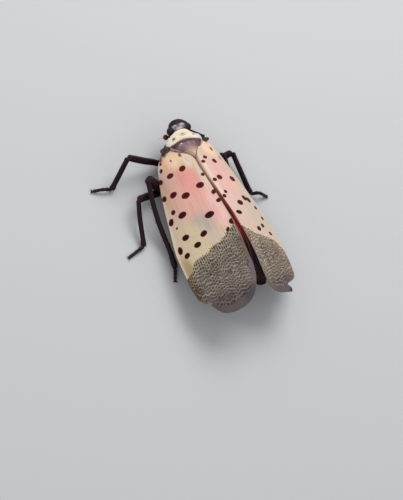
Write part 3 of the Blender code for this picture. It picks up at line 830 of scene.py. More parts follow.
@dataclass(frozen=True)
class Trunk:
    """A length of the body through its stations: y, half width, top z and bottom z."""

    stations: tuple[tuple[float, float, float, float], ...]
    front_lean: float = 0.0
    rear_lean: float = 0.0
    peak: float = 0.0
    belly: float = 0.3

    def surface(self, u: Array, v: Array) -> Array:
        """Places on the skin, u round it from the left side over the back and v from front to rear."""
        first, last = self.stations[0][0], self.stations[-1][0]
        y = first + (last - first) * np.clip(v, 0.0, 1.0)
        half_width, top, bottom = (read_curve(self.stations, y, column) for column in (1, 2, 3))
        turn = 2 * math.pi * u
        lift = np.sin(turn)
        over = np.maximum(lift, 0.0)
        x = half_width * np.cos(turn) * (1 - self.belly * np.minimum(lift, 0.0) ** 2)
        middle = (top + bottom) / 2
        z = middle + (top - middle) * lift + self.peak * over**6
        y = y + (self.front_lean + (self.rear_lean - self.front_lean) * v) * over
        return np.stack((x, y, z), axis=1)


@dataclass(frozen=True)
class Pronotum:
    """The collar behind the head, between a front and a rear margin seen from above."""

    front: tuple[tuple[float, float], ...] = (
        (-2.5, -2.98), (-2.26, -3.1), (-1.83, -3.36), (-1.3, -3.44), (-1.01, -3.56), (-0.72, -3.82), (-0.45, -4.08),
        (-0.15, -4.23), (0.4, -4.28), (0.95, -4.22), (1.33, -4.06), (1.7, -3.86), (2.08, -3.58), (2.5, -3.16),
    )
    rear: tuple[tuple[float, float], ...] = (
        (-2.5, -2.66), (-1.94, -2.68), (-0.99, -2.8), (-0.3, -2.94), (0.36, -3.04), (0.95, -3.0), (1.64, -2.83),
        (2.15, -2.74), (2.5, -2.72),
    )
    half_width: float = 2.47
    top: float = 5.06
    middle: float = 3.55
    bottom: float = 2.1
    edge_share: float = 0.16
    edge_drop: float = 0.07
    bumps: tuple[Bump, ...] = (
        Bump((0.3, -3.95), (0.75, 0.3), 0.05),
        Bump((0.25, -3.58), (0.5, 0.12), -0.06),
        Bump((1.5, -3.4), (0.22, 0.2), -0.08),
        Bump((-1.02, -3.32), (0.2, 0.16), -0.07),
        Bump((0.75, -3.3), (0.5, 0.16), 0.045),
        Bump((-0.4, -3.2), (0.5, 0.16), 0.045),
        Bump((1.95, -3.1), (0.3, 0.25), 0.05),
        Bump((-1.75, -3.0), (0.35, 0.2), 0.05),
    )
    base: Color = (244, 228, 204)
    patches: tuple[Patch, ...] = (
        Patch((2.3, -3.15), (0.8, 0.5), (250, 248, 234), 0.9, 0.2),
        Patch((-2.0, -3.0), (1.0, 0.5), (216, 214, 210), 0.9, 0.2),
        Patch((0.3, -4.1), (1.0, 0.3), (248, 230, 200), 0.8, 0.2),
        Patch((0.36, -3.6), (0.4, 0.34), (206, 166, 122), 0.95, 0.15),
        Patch((0.02, -3.5), (0.3, 0.12), (208, 170, 128), 0.8, 0.15),
        Patch((0.7, -3.5), (0.24, 0.1), (214, 178, 138), 0.7, 0.15),
        Patch((1.5, -3.42), (0.3, 0.26), (112, 84, 60), 0.95, 0.2),
        Patch((1.66, -3.24), (0.22, 0.14), (170, 140, 104), 0.8, 0.2),
        Patch((-1.02, -3.33), (0.22, 0.17), (128, 108, 92), 0.9, 0.2),
        Patch((-1.3, -3.3), (0.3, 0.14), (176, 168, 160), 0.8, 0.2),
    )
    # dark underside of the collar: partly its own dark colour, partly painted shade on its flanks
    side: Color = (56, 36, 42)

    def surface(self, u: Array, v: Array) -> Array:
        """Places on the skin, u round the body from the left side over the back and v front to rear."""
        turn = 2 * math.pi * u
        lift = np.sin(turn)
        near_edge = np.clip(np.minimum(v, 1 - v) / self.edge_share, 0.0, 1.0)
        drop = self.edge_drop * (1 - np.sqrt(1 - (1 - near_edge) ** 2))
        x = self.half_width * np.cos(turn) * (1 - drop)
        arch = 1 - (x / self.half_width) ** 2
        low = np.clip(-lift / 0.5, 0.0, 1.0)
        front = read_curve(self.front, x) * (1 - low) + (-3.2 - 0.8 * arch) * low
        rear = read_curve(self.rear, x) * (1 - low) - 2.95 * low
        height = np.where(lift > 0, self.top - self.middle, self.middle - self.bottom)
        y = front + (rear - front) * v
        z = self.middle + height * lift - drop * np.maximum(lift, 0.0)
        places = np.stack((x, y, z), axis=1)
        places[:, 2:] += relief(places[:, :2], self.bumps) * np.maximum(lift, 0.0)[:, None]
        return places

    def build(self, frame: BodyFrame) -> None:
        """Makes the collar."""
        body = closed_tube(200, 60, self.surface)
        places = places_of(body)
        colors = painted(places[:, :2], self.base, self.patches)
        # darkens everything below the top: the collar's own dark underside and painted shade on its flanks
        dark_shaded_underside = smoothstep(4.12, 3.78, places[:, 2])[:, None]
        colors = colors + (np.array(linear(self.side)) - colors) * dark_shaded_underside
        rear = read_curve(self.rear, places[:, 0]) - places[:, 1]
        pale = (smoothstep(0.14, 0.05, rear) * (1 - dark_shaded_underside[:, 0]))[:, None]
        colors = colors + (np.array(linear((226, 214, 198))) - colors) * pale * 0.7
        set_colors(body, colors)
        finish = CuticleFinish("pronotum", roughness=0.55, grain=3.0, mottle=0.16, speckle=0.15, scatter=0.1)
        finish_piece("pronotum_skin", body, frame, finish.material(), ["pronotum"])


@dataclass(frozen=True)
class Thorax:
    """The thorax behind the collar: trunk, shield between the wings, and the lobes over their bases."""

    trunk: Trunk = Trunk(
        ((-3.15, 2.2, 4.6, 1.85), (-2.3, 1.95, 4.25, 1.7), (-1.2, 1.9, 4.15, 1.5), (0.0, 1.9, 4.35, 1.45), (0.9, 1.75, 4.4, 1.5)),
        front_lean=0.31,
    )
    shield: Trunk = Trunk(
        (
            (-3.4, 2.1, 4.7, 2.3), (-3.0, 2.22, 4.9, 2.3), (-2.6, 2.26, 5.08, 2.8), (-1.9, 1.66, 5.3, 3.7),
            (-1.2, 0.97, 5.47, 3.8), (-0.5, 0.48, 5.57, 3.8), (0.15, 0.12, 5.56, 3.9),
        ),
    )
    shield_bumps: tuple[Bump, ...] = (
        Bump((0.95, -2.3), (0.55, 0.5), 0.05),
        Bump((-0.6, -2.2), (0.5, 0.5), 0.05),
        Bump((0.2, -1.7), (0.12, 0.9), -0.035),
        Bump((1.75, -2.35), (0.3, 0.3), -0.05),
        Bump((-1.4, -2.3), (0.3, 0.3), -0.05),
    )
    shield_base: Color = (106, 76, 80)
    shield_patches: tuple[Patch, ...] = (
        Patch((0.3, -2.2), (1.4, 0.75), (144, 112, 114), 0.85, 0.2),
        # painted shade: a dark band where the collar's rear edge overhangs the shield
        Patch((0.1, -2.78), (2.6, 0.26), (72, 44, 50), 0.8, 0.3),
        Patch((2.05, -2.45), (0.75, 0.5), (62, 36, 42), 0.9, 0.3),
        Patch((-1.6, -2.35), (0.6, 0.5), (62, 38, 46), 0.9, 0.3),
        Patch((-0.9, -2.35), (0.16, 0.55), (72, 46, 54), 0.75, 0.2),
        Patch((-0.5, -2.3), (0.12, 0.5), (150, 120, 126), 0.6, 0.2),
        Patch((-0.2, -2.25), (0.1, 0.5), (88, 60, 68), 0.6, 0.2),
        Patch((0.15, -2.35), (0.12, 0.5), (160, 132, 136), 0.6, 0.2),
        Patch((0.5, -2.3), (0.1, 0.5), (86, 58, 66), 0.65, 0.2),
        Patch((1.6, -2.3), (0.12, 0.3), (124, 98, 104), 0.6, 0.2),
        Patch((1.25, -2.1), (0.5, 0.5), (146, 120, 122), 0.7, 0.2),
        Patch((1.5, -2.5), (0.2, 0.3), (76, 50, 56), 0.5, 0.2),
        Patch((0.3, -0.1), (1.9, 2.2), (204, 164, 142), 1.0, 0.5),
        # painted highlight: a white glint near the front of the shield
        Patch((0.98, -2.56), (0.14, 0.1), (250, 244, 250), 1.0, 0.3),
        Patch((1.2, -2.42), (0.25, 0.12), (188, 170, 178), 0.7, 0.2),
    )
    tegulae: tuple[tuple[str, tuple[float, float, float], tuple[float, float, float]], ...] = (
        ("left", (2.6, -2.68, 3.82), (0.72, 0.34, 0.5)),
        ("right", (-2.6, -2.6, 3.82), (0.68, 0.25, 0.5)),
    )

    def build(self, frame: BodyFrame) -> None:
        """Makes the trunk with its shield and lobes."""
        body = closed_tube(64, 40, self.trunk.surface)
        colors = painted(places_of(body), (70, 52, 54), ())
        set_colors(body, colors)
        finish = CuticleFinish("thorax", roughness=0.55, mottle=0.5)
        finish_piece("thorax_skin", body, frame, finish.material(), ["thorax"])
        body = closed_tube(160, 90, self.shield.surface)
        places = places_of(body)
        colors = painted(places[:, :2], self.shield_base, self.shield_patches)
        half_width = read_curve(self.shield.stations, places[:, 1])
        reach = np.abs(places[:, 0]) / half_width + np.where(places[:, 0] < 0, 0.12, 0.0)
        margin = smoothstep(0.88, 0.97, reach)[:, None]
        set_colors(body, colors + (np.array(linear((214, 190, 178))) - colors) * margin * 0.7)
        above = np.maximum(places[:, 2:] - 4.2, 0.0)
        heights = relief(places[:, :2], self.shield_bumps) * np.minimum(above, 1.0)
        for vert, height in zip(body.verts, heights[:, 0]):
            vert.co.z += height
        finish = CuticleFinish("mesonotum", roughness=0.45, grain=0.9, mottle=0.5, speckle=0.7, relief=0.03)
        finish_piece("mesonotum", body, frame, finish.material(), [])
        for word, center, size in self.tegulae:
            lobe = ball(center, size, 40, 24)
            places = places_of(lobe) - np.array(center)
            side = math.copysign(1.0, center[0])
            patches = (
                # painted highlight on the top of the lobe; the next patch is its paler outer margin
                Patch((0.0, 0.3, 0.3), (0.5, 0.5, 0.5), (110, 84, 92), 0.7, 0.1),
                Patch((0.5 * side, 0.1, 0.1), (0.3, 0.4, 0.4), (130, 104, 106), 0.7, 0.2),
            )
            set_colors(lobe, painted(places, (52, 32, 40), patches))
            finish = CuticleFinish(f"tegula_{word}", roughness=0.5)
            finish_piece(f"tegula_{word}", lobe, frame, finish.material(), [])


def ball(center: Sequence[float], radii: Sequence[float], sides: int, rings: int) -> bmesh.types.BMesh:
    """An ellipsoid."""
    body = bmesh.new()
    bmesh.ops.create_uvsphere(body, u_segments=sides, v_segments=rings, radius=1.0)
    bmesh.ops.scale(body, vec=radii, verts=body.verts[:])
    bmesh.ops.translate(body, vec=center, verts=body.verts[:])
    return body


@dataclass(frozen=True)
class Abdomen:
    """The ringed abdomen under the wings."""

    trunk: Trunk = Trunk(
        (
            (0.7, 1.7, 3.5, 1.3), (2.6, 2.0, 3.54, 1.05), (5.0, 2.15, 3.7, 0.95), (7.5, 2.05, 3.7, 1.05),
            (9.6, 1.6, 3.6, 1.3), (11.0, 0.95, 3.25, 1.7), (11.75, 0.3, 2.8, 2.2),
        )
    )
    segments: int = 8
    ridge: float = 0.09

    def surface(self, u: Array, v: Array) -> Array:
        """Places on the ringed skin."""
        places = self.trunk.surface(u, v)
        step = v * self.segments % 1.0
        swell = self.ridge * np.minimum(step / 0.8, (1 - step) / 0.2) * smoothstep(0.0, 0.05, 1 - v)
        turn = 2 * math.pi * u
        places[:, 0] += swell * np.cos(turn)
        places[:, 2] += swell * np.sin(turn)
        return places

    def build(self, frame: BodyFrame) -> None:
        """Makes the abdomen."""
        body = closed_tube(80, 160, self.surface)
        places = places_of(body)
        share = (places[:, 1] - 0.7) / 11.05
        step = share * self.segments % 1.0
        dark = np.array(linear((38, 24, 22)))
        yellow = np.array(linear((226, 170, 40)))
        band = (smoothstep(0.5, 0.62, step) * (1 - smoothstep(0.97, 1.0, step)))[:, None]
        set_colors(body, dark + (yellow - dark) * band)
        finish = CuticleFinish("abdomen", roughness=0.5)
        finish_piece("abdomen_skin", body, frame, finish.material(), ["abdomen"])


@dataclass(frozen=True)
class Head:
    """The head with its eyes, feelers and beak."""

    center: tuple[float, float, float] = (-0.08, -4.69, 3.72)
    radii: tuple[float, float, float] = (1.16, 1.25, 1.16)
    squareness: float = 0.86
    face_narrowing: float = 0.42
    face_setback: float = 0.42
    eye_offset: tuple[float, float, float] = (1.12, 0.02, 0.22)
    eye_radii: tuple[float, float, float] = (0.46, 0.5, 0.58)
    antenna_offset: tuple[float, float, float] = (1.1, 0.2, -0.87)
    beak_path: tuple[tuple[float, float, float], ...] = (
        (-0.06, -4.4, 2.2), (-0.04, -3.9, 1.66), (0.0, -2.4, 1.05), (0.0, -0.4, 0.78),
    )
    dark: Color = (38, 22, 28)
    face: Color = (58, 30, 34)
    patches: tuple[Patch, ...] = (
        Patch((0.33, 0.02), (1.05, 0.52), (124, 108, 114), 0.85, 0.4),
        Patch((0.8, -0.18), (0.36, 0.3), (194, 188, 192), 0.95, 0.3),
        Patch((-0.1, -0.16), (0.42, 0.3), (190, 184, 190), 0.95, 0.3),
        Patch((0.38, 0.16), (0.6, 0.26), (196, 180, 182), 0.9, 0.3),
        Patch((0.42, -0.3), (0.1, 0.24), (84, 64, 72), 0.7, 0.2),
        Patch((0.74, -0.06), (0.15, 0.11), (72, 54, 62), 0.95, 0.2),
        Patch((-0.16, -0.06), (0.15, 0.1), (78, 60, 68), 0.95, 0.2),
        Patch((0.5, -0.62), (0.7, 0.12), (74, 50, 56), 0.5, 0.2),
    )
    bumps: tuple[Bump, ...] = (
        Bump((0.33, -0.12), (1.0, 0.66), 0.06, 0.14),
        Bump((0.78, -0.2), (0.24, 0.2), 0.05),
        Bump((-0.1, -0.16), (0.28, 0.2), 0.05),
        Bump((0.74, -0.02), (0.1, 0.08), -0.06),
        Bump((-0.14, 0.02), (0.1, 0.08), -0.06),
        Bump((0.35, -0.95), (0.5, 0.14), 0.05),
        Bump((-0.86, -0.22), (0.32, 0.42), 0.17),
    )

    def build(self, frame: BodyFrame) -> None:
        """Makes the head and what it carries."""
        body = ball((0, 0, 0), (1, 1, 1), 120, 80)
        direction = places_of(body)
        squared = np.sign(direction) * np.abs(direction) ** self.squareness
        lower = np.maximum(-direction[:, 2], 0.0)
        x = self.radii[0] * squared[:, 0] * (1 - self.face_narrowing * lower)
        y = self.radii[1] * squared[:, 1] + self.face_setback * lower
        places = np.stack((x, np.minimum(y, 0.4), self.radii[2] * squared[:, 2]), axis=1)
        for vert, place in zip(body.verts, places):
            vert.co = Vector(place) + Vector(self.center)
        colors = painted(places[:, :2], self.dark, self.patches)
        under = smoothstep(0.35, 0.1, places[:, 2])[:, None]
        set_colors(body, colors + (np.array(linear(self.face)) - colors) * under)
        height = relief(places[:, :2], self.bumps) * smoothstep(0.2, 0.5, places[:, 2])[:, None]
        for vert, way, amount in zip(body.verts, direction, height[:, 0]):
            vert.co += Vector(way) * amount
        finish = CuticleFinish("head", roughness=0.55, grain=0.9, mottle=0.4, speckle=0.6, relief=0.06, sheen=0.2)
        finish_piece("head_skin", body, frame, finish.material(), ["head"])
        for word, side in (("left", 1), ("right", -1)):
            offset = np.array(self.eye_offset) * (side, 1, 1)
            eye = ball(np.array(self.center) + offset, self.eye_radii, 64, 40)
            patches = (
                # painted reflection: a lighter purple patch on the top of the eye
                Patch((0.3 * side, -0.1, 0.5), (0.4, 0.4, 0.4), (66, 48, 60), 0.6, 0.1),
                Patch((0.1 * side, 0.35, -0.3), (0.5, 0.4, 0.5), (66, 30, 36), 0.8, 0.1),
            )
            set_colors(eye, painted(places_of(eye) - (np.array(self.center) + offset), (28, 15, 22), patches))
            finish = CuticleFinish(f"eye_{word}", roughness=0.45, grain=6.0, mottle=0.1, speckle=0.15, sheen=0.2, coat=0.12)
            finish_piece(f"eye_{word}_skin", eye, frame, finish.material(), [f"eye_{word}"])
            self.add_antenna(frame, word, side)
        beak = closed_tube(24, 60, along_path(self.beak_path, (0.3, 0.29, 0.25, 0.12)))
        set_colors(beak, painted(places_of(beak), (60, 40, 40), ()))
        finish_piece("beak_skin", beak, frame, CuticleFinish("beak").material(), ["beak"])

    def add_antenna(self, frame: BodyFrame, word: str, side: int) -> None:
        """Makes one feeler: a swollen base and a bristle."""
        root = np.array(self.center) + np.array(self.antenna_offset) * (side, 1, 1)
        outward = np.array((0.84 * side, -0.08, -0.08))
        outward /= np.linalg.norm(outward)
        shares = (
            (-0.25, 0.14), (-0.1, 0.16), (0.02, 0.13), (0.16, 0.3), (0.36, 0.34), (0.52, 0.27), (0.6, 0.12), (0.66, 0.04),
            (0.85, 0.014), (1.35, 0.01),
        )
        path = [tuple(root + outward * share) for share, _ in shares]
        body = closed_tube(32, 90, along_path(path, [radius for _, radius in shares]))
        far = tuple(root + outward * 1.2)
        patches = (Patch(far, (0.6, 0.6, 0.6), (60, 40, 40), 1.0, 0.7), Patch(tuple(root), (0.3, 0.3, 0.3), (84, 24, 28)))
        set_colors(body, painted(places_of(body), (112, 26, 28), patches))
        finish = CuticleFinish(f"antenna_{word}", roughness=0.4)
        finish_piece(f"antenna_{word}_skin", body, frame, finish.material(), [f"antenna_{word}"])


def along_path(
    points: Sequence[Sequence[float]], radii: Sequence[float], flatten: float = 1.0, ridge: float = 0.0
) -> Callable[[Array, Array], Array]:
    """The skin of a round rod along a smooth path with rounded ends.

    Args:
        points: The path's points.
        radii: The rod's radius at each point.
        flatten: Height of its section as a share of its width.
        ridge: Height of its four keels as a share of its radius.

    Returns:
        A surface of u round the rod and v along it.
    """
    points = np.array(points, float)
    steps = np.linalg.norm(np.diff(points, axis=0), axis=1)
    distances = np.concatenate(([0.0], np.cumsum(steps)))
    stations = [(distance, *point, radius) for distance, point, radius in zip(distances, points, radii)]
    total = distances[-1]

    def center(where: Array) -> Array:
        return np.stack([read_curve(stations, where, column) for column in (1, 2, 3)], axis=1)

    def surface(u: Array, v: Array) -> Array:
        where = v * total
        radius = read_curve(stations, where, 4)
        first, last = radii[0] * 0.8, radii[-1] * 0.8
        near = np.clip(where / first, 0.0, 1.0)
        far = np.clip((total - where) / last, 0.0, 1.0)
        radius = radius * np.sqrt(1 - (1 - near) ** 2) * np.sqrt(1 - (1 - far) ** 2)
        step = total * 1e-3
        axis = center(np.minimum(where + step, total)) - center(np.maximum(where - step, 0.0))
        axis /= np.linalg.norm(axis, axis=1)[:, None]
        across = np.cross(axis, (0.0, 0.0, 1.0))
        across /= np.maximum(np.linalg.norm(across, axis=1), 1e-6)[:, None]
        upward = np.cross(across, axis)
        turn = 2 * math.pi * u
        radius = radius * (1 + ridge * np.cos(4 * turn))
        ring = across * np.cos(turn)[:, None] + upward * np.sin(turn)[:, None] * flatten
        return center(where) + ring * radius[:, None]

    return surface


def spike(base: Array, tip: Array, radius: float) -> bmesh.types.BMesh:
    """A slender cone from a base to a tip."""
    body = bmesh.new()
    way = Vector(tip) - Vector(base)
    turn = way.to_track_quat("Z", "Y").to_matrix().to_4x4()
    place = Matrix.Translation((Vector(base) + Vector(tip)) / 2) @ turn
    bmesh.ops.create_cone(
        body, cap_ends=True, segments=10, radius1=radius, radius2=radius * 0.1, depth=way.length, matrix=place
    )
    return body


def joined(parts: Sequence[bmesh.types.BMesh]) -> bmesh.types.BMesh:
    """Puts several meshes into one and frees them."""
    body = bmesh.new()
    for part in parts:
        mesh = bpy.data.meshes.new("part")
        part.to_mesh(mesh)
        part.free()
        body.from_mesh(mesh)
        bpy.data.meshes.remove(mesh)
    return body


@dataclass(frozen=True)
class Leg:
    """One leg, whose joints are those of the CAD part."""

    name: str
    coxa: tuple[float, float, float]
    hip: tuple[float, float, float]
    thigh: tuple[float, float, float]
    knee: tuple[float, float, float]
    ankle: tuple[float, float, float]
    toe: tuple[float, float, float]
    femur_radius: float = 0.33
    tibia_radius: float = 0.29
    foot_radius: float = 0.2
    knee_radius: float = 0.34
    foot_arch: float = 0.0
    bow: tuple[float, float, float] = (0.0, 0.0, 0.0)
    spine_shares: tuple[float, ...] = ()
    color: Color = (34, 14, 23)
    joint_color: Color = (54, 30, 34)

    def femur(self) -> bmesh.types.BMesh:
        """The hip and the thigh, thickest in the middle and before the knee."""
        stations = np.array((self.coxa, self.hip, self.thigh, self.knee))
        blend = ((0, 0.0, 1.2), (1, 0.0, 0.88), (1, 0.5, 0.96), (2, 0.0, 1.0), (2, 0.55, 1.02), (2, 0.8, 0.97))
        points = [stations[index] * (1 - share) + stations[index + 1] * share for index, share, _ in blend]
        radii = [self.femur_radius * width for _, _, width in blend]
        path = along_path([*points, stations[3]], [*radii, self.knee_radius], ridge=0.05)
        return closed_tube(32, 90, path)

    def kneecap(self) -> bmesh.types.BMesh:
        """The round end of the thigh."""
        knee = np.array(self.knee)
        back = np.array(self.thigh) - knee
        center = knee + back / np.linalg.norm(back) * self.knee_radius * 0.95
        return ball(center, (self.knee_radius,) * 3, 28, 18)

    def tibia(self) -> bmesh.types.BMesh:
        """The shin, keeled, narrow below the knee and flared at its end."""
        knee, ankle = np.array(self.knee), np.array(self.ankle)
        widths = (
            (0.0, 0.9), (0.05, 0.96), (0.14, 0.88), (0.28, 0.92), (0.45, 0.94), (0.65, 0.94), (0.85, 0.96), (0.97, 1.15),
            (1.0, 1.1),
        )
        bend = [math.sin(math.pi * min(share / 0.8, 1.0)) for share, _ in widths]
        points = [knee + (ankle - knee) * share + np.array(self.bow) * sway for (share, _), sway in zip(widths, bend)]
        radii = [self.tibia_radius * width for _, width in widths]
        return closed_tube(32, 110, along_path(points, radii, ridge=0.08))

    def foot(self) -> bmesh.types.BMesh:
        """The three joints of the foot."""
        ankle, toe = np.array(self.ankle), np.array(self.toe)
        widths = (
            (0.0, 1.15, 0.0), (0.13, 1.0, 0.4), (0.28, 1.12, 0.9), (0.33, 0.88, 1.0), (0.39, 0.98, 1.0),
            (0.5, 1.06, 0.9), (0.55, 0.84, 0.85), (0.61, 0.9, 0.7), (0.82, 1.0, 0.2), (0.9, 1.1, 0.0),
        )
        points = []
        for share, _, arch in widths:
            point = ankle + (toe - ankle) * share
            point[2] += self.foot_arch * arch
            points.append(point)
        return closed_tube(28, 110, along_path(points, [self.foot_radius * width for _, width, _ in widths]))

    def claws(self) -> list[bmesh.types.BMesh]:
        """The pad and the two claws at the end of the foot."""
        ankle = np.array(self.ankle)
        toe = ankle + (np.array(self.toe) - ankle) * 0.9
        forward = toe - ankle
        forward[2] = 0.0
        forward /= np.linalg.norm(forward)
        sideways = np.array((-forward[1], forward[0], 0.0))
        parts = [ball(toe + forward * 0.12 - (0, 0, 0.03), (0.13, 0.13, 0.1), 20, 12)]
        for side in (-1, 1):
            root = toe + sideways * side * 0.1 + forward * 0.04
            bend = root + forward * 0.16 + sideways * side * 0.08 + (0, 0, 0.04)
            tip = bend + forward * 0.1 + sideways * side * 0.03 - (0, 0, 0.13)
            parts.append(closed_tube(12, 24, along_path((root, bend, tip), (0.06, 0.045, 0.012))))
        return parts

    def spines(self) -> list[bmesh.types.BMesh]:
        """The spines along a hind shin and the teeth round the end of every shin."""
        knee, ankle = np.array(self.knee), np.array(self.ankle)
        down = (ankle - knee) / np.linalg.norm(ankle - knee)
        outward = np.array((math.copysign(1.0, self.knee[0]), 0.0, 0.25))
        outward -= down * (outward @ down)
        outward /= np.linalg.norm(outward)
        upward = np.cross(down, outward)
        parts = []
        for share in self.spine_shares:
            bend = np.array(self.bow) * math.sin(math.pi * min(share / 0.8, 1.0))
            base = knee + (ankle - knee) * share + bend + outward * self.tibia_radius * 0.7
            parts.append(spike(base, base + outward * 0.3 + down * 0.22, 0.09))
        for index in range(6):
            turn = math.radians(60 * index + 30)
            way = outward * math.cos(turn) + upward * math.sin(turn)
            base = ankle - down * 0.1 + way * self.tibia_radius * 0.8
            parts.append(spike(base, base + way * 0.06 + down * 0.24, 0.06))
        return parts

    def build(self, frame: BodyFrame) -> None:
        """Makes the leg as one skin."""
        body = joined([self.femur(), self.kneecap(), self.tibia(), self.foot(), *self.claws(), *self.spines()])
        for vert in body.verts:
            vert.co.z = max(vert.co.z, 0.0)
        patches = [Patch(point, (0.5, 0.5, 0.5), self.joint_color, 0.7) for point in (self.knee, self.ankle, self.hip)]
        patches.append(Patch(self.toe, (1.2, 1.2, 1.2), (62, 30, 34), 0.6))
        set_colors(body, painted(places_of(body), self.color, patches))
        finish = CuticleFinish(f"leg_{self.name}", roughness=0.45, relief=0.02, sheen=0.18)
        nodes = [f"{part}_{self.name}" for part in ("femur", "tibia", "tarsus")]
        finish_piece(f"leg_{self.name}", body, frame, finish.material(), nodes)


@dataclass(frozen=True)
class Studio:
    """Camera, light and floor round the model."""

    frame: BodyFrame
    target: tuple[float, float, float] = (0.0, 5.0, 3.0)
    zenith: float = 0.560
    azimuth: float = 1.083
    roll: float = 0.721
    distance: float = 320.0
    focal_pixels: float = 2763.5
    target_offset: tuple[float, float] = (7.276, 44.029)
    picture_height: int = 500
    sensor: float = 36.0

    def back(self) -> Vector:
        """Direction from the target to the camera."""
        across = math.sin(self.zenith)
        return Vector((across * math.sin(self.azimuth), across * math.cos(self.azimuth), math.cos(self.zenith)))

    def build(self) -> None:
        """Sets up everything that isn't the insect."""
        self.add_camera()
        self.add_lights()
        self.add_floor()

    def add_camera(self) -> None:
        """Adds the camera at the picture's viewing angle and framing."""
        back = self.back()
        level = Vector((-math.cos(self.azimuth), math.sin(self.azimuth), 0.0))
        rise = back.cross(level)
        right = math.cos(self.roll) * level + math.sin(self.roll) * rise
        up = math.cos(self.roll) * rise - math.sin(self.roll) * level
        upright = Matrix((right, up, back)).transposed()
        aim = Vector((*self.target_offset, -self.focal_pixels)).normalized()
        turn = aim.rotation_difference(Vector((0.0, 0.0, -1.0))).to_matrix()
        data = bpy.data.cameras.new("camera")
        data.sensor_width = self.sensor
        data.lens = self.focal_pixels / self.picture_height * self.sensor
        data.clip_start = 0.01
        data.clip_end = 10.0
        camera = bpy.data.objects.new("camera", data)
        place = self.frame.place(Vector(self.target) + back * self.distance)
        camera.matrix_world = Matrix.Translation(place) @ (upright @ turn).to_4x4()
        bpy.context.scene.collection.objects.link(camera)
        bpy.context.scene.camera = camera

    def add_lights(self) -> None:
        """Adds soft area lights and a pale sky."""
        scene = bpy.context.scene
        scene.view_settings.view_transform = "Standard"
        world = bpy.data.worlds.new("studio")
        world.use_nodes = True
        world.node_tree.nodes["Background"].inputs["Color"].default_value = (0.9, 0.93, 1.0, 1.0)
        world.node_tree.nodes["Background"].inputs["Strength"].default_value = 0.55
        scene.world = world
        self.add_light("key", (-60.0, -90.0, 160.0), 120.0, 0.23)
        self.add_light("fill", (150.0, 60.0, 110.0), 140.0, 0.03)

    def add_light(self, name: str, place: tuple[float, float, float], size: float, power: float) -> None:
        """Adds a square area light aimed at the target."""
        data = bpy.data.lights.new(name, "AREA")
        data.size = size * MM
        data.energy = power
        light = bpy.data.objects.new(name, data)
        spot = self.frame.place(place)
        aim = (self.frame.place(self.target) - spot).to_track_quat("-Z", "Y")
        light.matrix_world = Matrix.Translation(spot) @ aim.to_matrix().to_4x4()
        bpy.context.scene.collection.objects.link(light)

    def add_floor(self) -> None:
        """Adds the pale floor the insect stands on."""
        body = bmesh.new()
        bmesh.ops.create_grid(body, x_segments=1, y_segments=1, size=0.5)
        mesh = bpy.data.meshes.new("floor")
        body.to_mesh(mesh)
        body.free()
        material = bpy.data.materials.new("floor")
        material.use_nodes = True
        shader = material.node_tree.nodes["Principled BSDF"]
        shader.inputs["Base Color"].default_value = (0.62, 0.62, 0.61, 1.0)
        shader.inputs["Roughness"].default_value = 0.9
        mesh.materials.append(material)
        floor = bpy.data.objects.new("floor", mesh)
        bpy.context.scene.collection.objects.link(floor)
        floor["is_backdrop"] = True


LEFT_BLADE = Blade(
    side=1, root=(0.144, -2.491, 5.386), yaw=-0.027, rise=0.132, slope=0.642, droop=1.701, twist=-0.175, tip=4.1,
    inner=(
        (0.0, 2.45), (0.02, 2.1), (0.04, 1.58), (0.065, 0.9), (0.09, 0.54), (0.14, 0.28), (0.2, 0.22), (0.3, 0.16),
        (0.4, 0.1), (0.5, 0.05), (0.6, 0.07), (0.75, 0.24),
    ),
    cut=(
        (18.0, 7.8), (18.4, 7.4), (18.79, 7.05), (18.87, 6.5), (18.97, 6.32), (19.07, 6.5), (19.25, 6.6), (19.65, 6.36),
        (20.1, 6.1), (20.5, 5.74), (20.88, 5.1), (21.06, 4.4),
    ),
    inner_round=2.3,
    costal_round=2.2,
    length=21.06,
)
RIGHT_BLADE = Blade(
    side=-1, root=(-0.256, -2.491, 5.372), yaw=0.027, rise=0.156, slope=0.686, droop=2.729, twist=-0.079, tip=4.4,
    inner=(
        (0.0, 2.3), (0.02, 1.2), (0.045, 0.5), (0.07, -0.1), (0.11, -0.6), (0.15, -0.68), (0.22, -0.6), (0.32, -0.52),
        (0.42, -0.4), (0.52, -0.15), (0.6, 0.05), (0.75, 0.3),
    ),
    cut=(
        (18.1, 8.0), (18.35, 7.85), (18.95, 6.95), (19.5, 5.5), (19.68, 4.75), (19.82, 4.25), (19.97, 4.05), (20.12, 4.25),
        (20.3, 4.6), (20.45, 4.7), (20.7, 4.62), (20.85, 4.5),
    ),
    inner_round=4.6,
)
LEFT_SPOTS = (
    Spot(2.71, 2.27, 0.43, 0.34, 65), Spot(2.83, 3.94, 0.44, 0.32, 84), Spot(5.53, 1.42, 0.48, 0.38, 92),
    Spot(5.12, 4.71, 0.49, 0.35, 72), Spot(5.91, 3.48, 0.53, 0.39, 87), Spot(5.01, 5.89, 0.38, 0.29, 35),
    Spot(2.95, 5.3, 0.34, 0.28, 30), Spot(1.75, 4.6, 0.3, 0.19, 40), Spot(4.48, 0.55, 0.24, 0.2, 160),
    Spot(6.97, 0.42, 0.33, 0.27, 60), Spot(8.17, 0.43, 0.32, 0.26, 80), Spot(7.87, 4.94, 0.55, 0.38, 76),
    Spot(9.34, 2.19, 0.6, 0.38, 84), Spot(7.03, 5.73, 0.34, 0.26, 49), Spot(8.0, 6.53, 0.48, 0.31, 34),
    Spot(8.99, 6.28, 0.17, 0.12, 45), Spot(11.11, 3.83, 0.47, 0.33, 68), Spot(10.54, 5.9, 0.46, 0.35, 78),
    Spot(12.0, 5.06, 0.46, 0.33, 83), Spot(11.65, 7.19, 0.5, 0.3, 13), Spot(12.59, 6.72, 0.4, 0.31, 62),
    Spot(11.17, 0.16, 0.5, 0.38, 80), Spot(11.89, 1.16, 0.32, 0.19, 42), Spot(0.95, 4.25, 0.22, 0.15, 40),
)
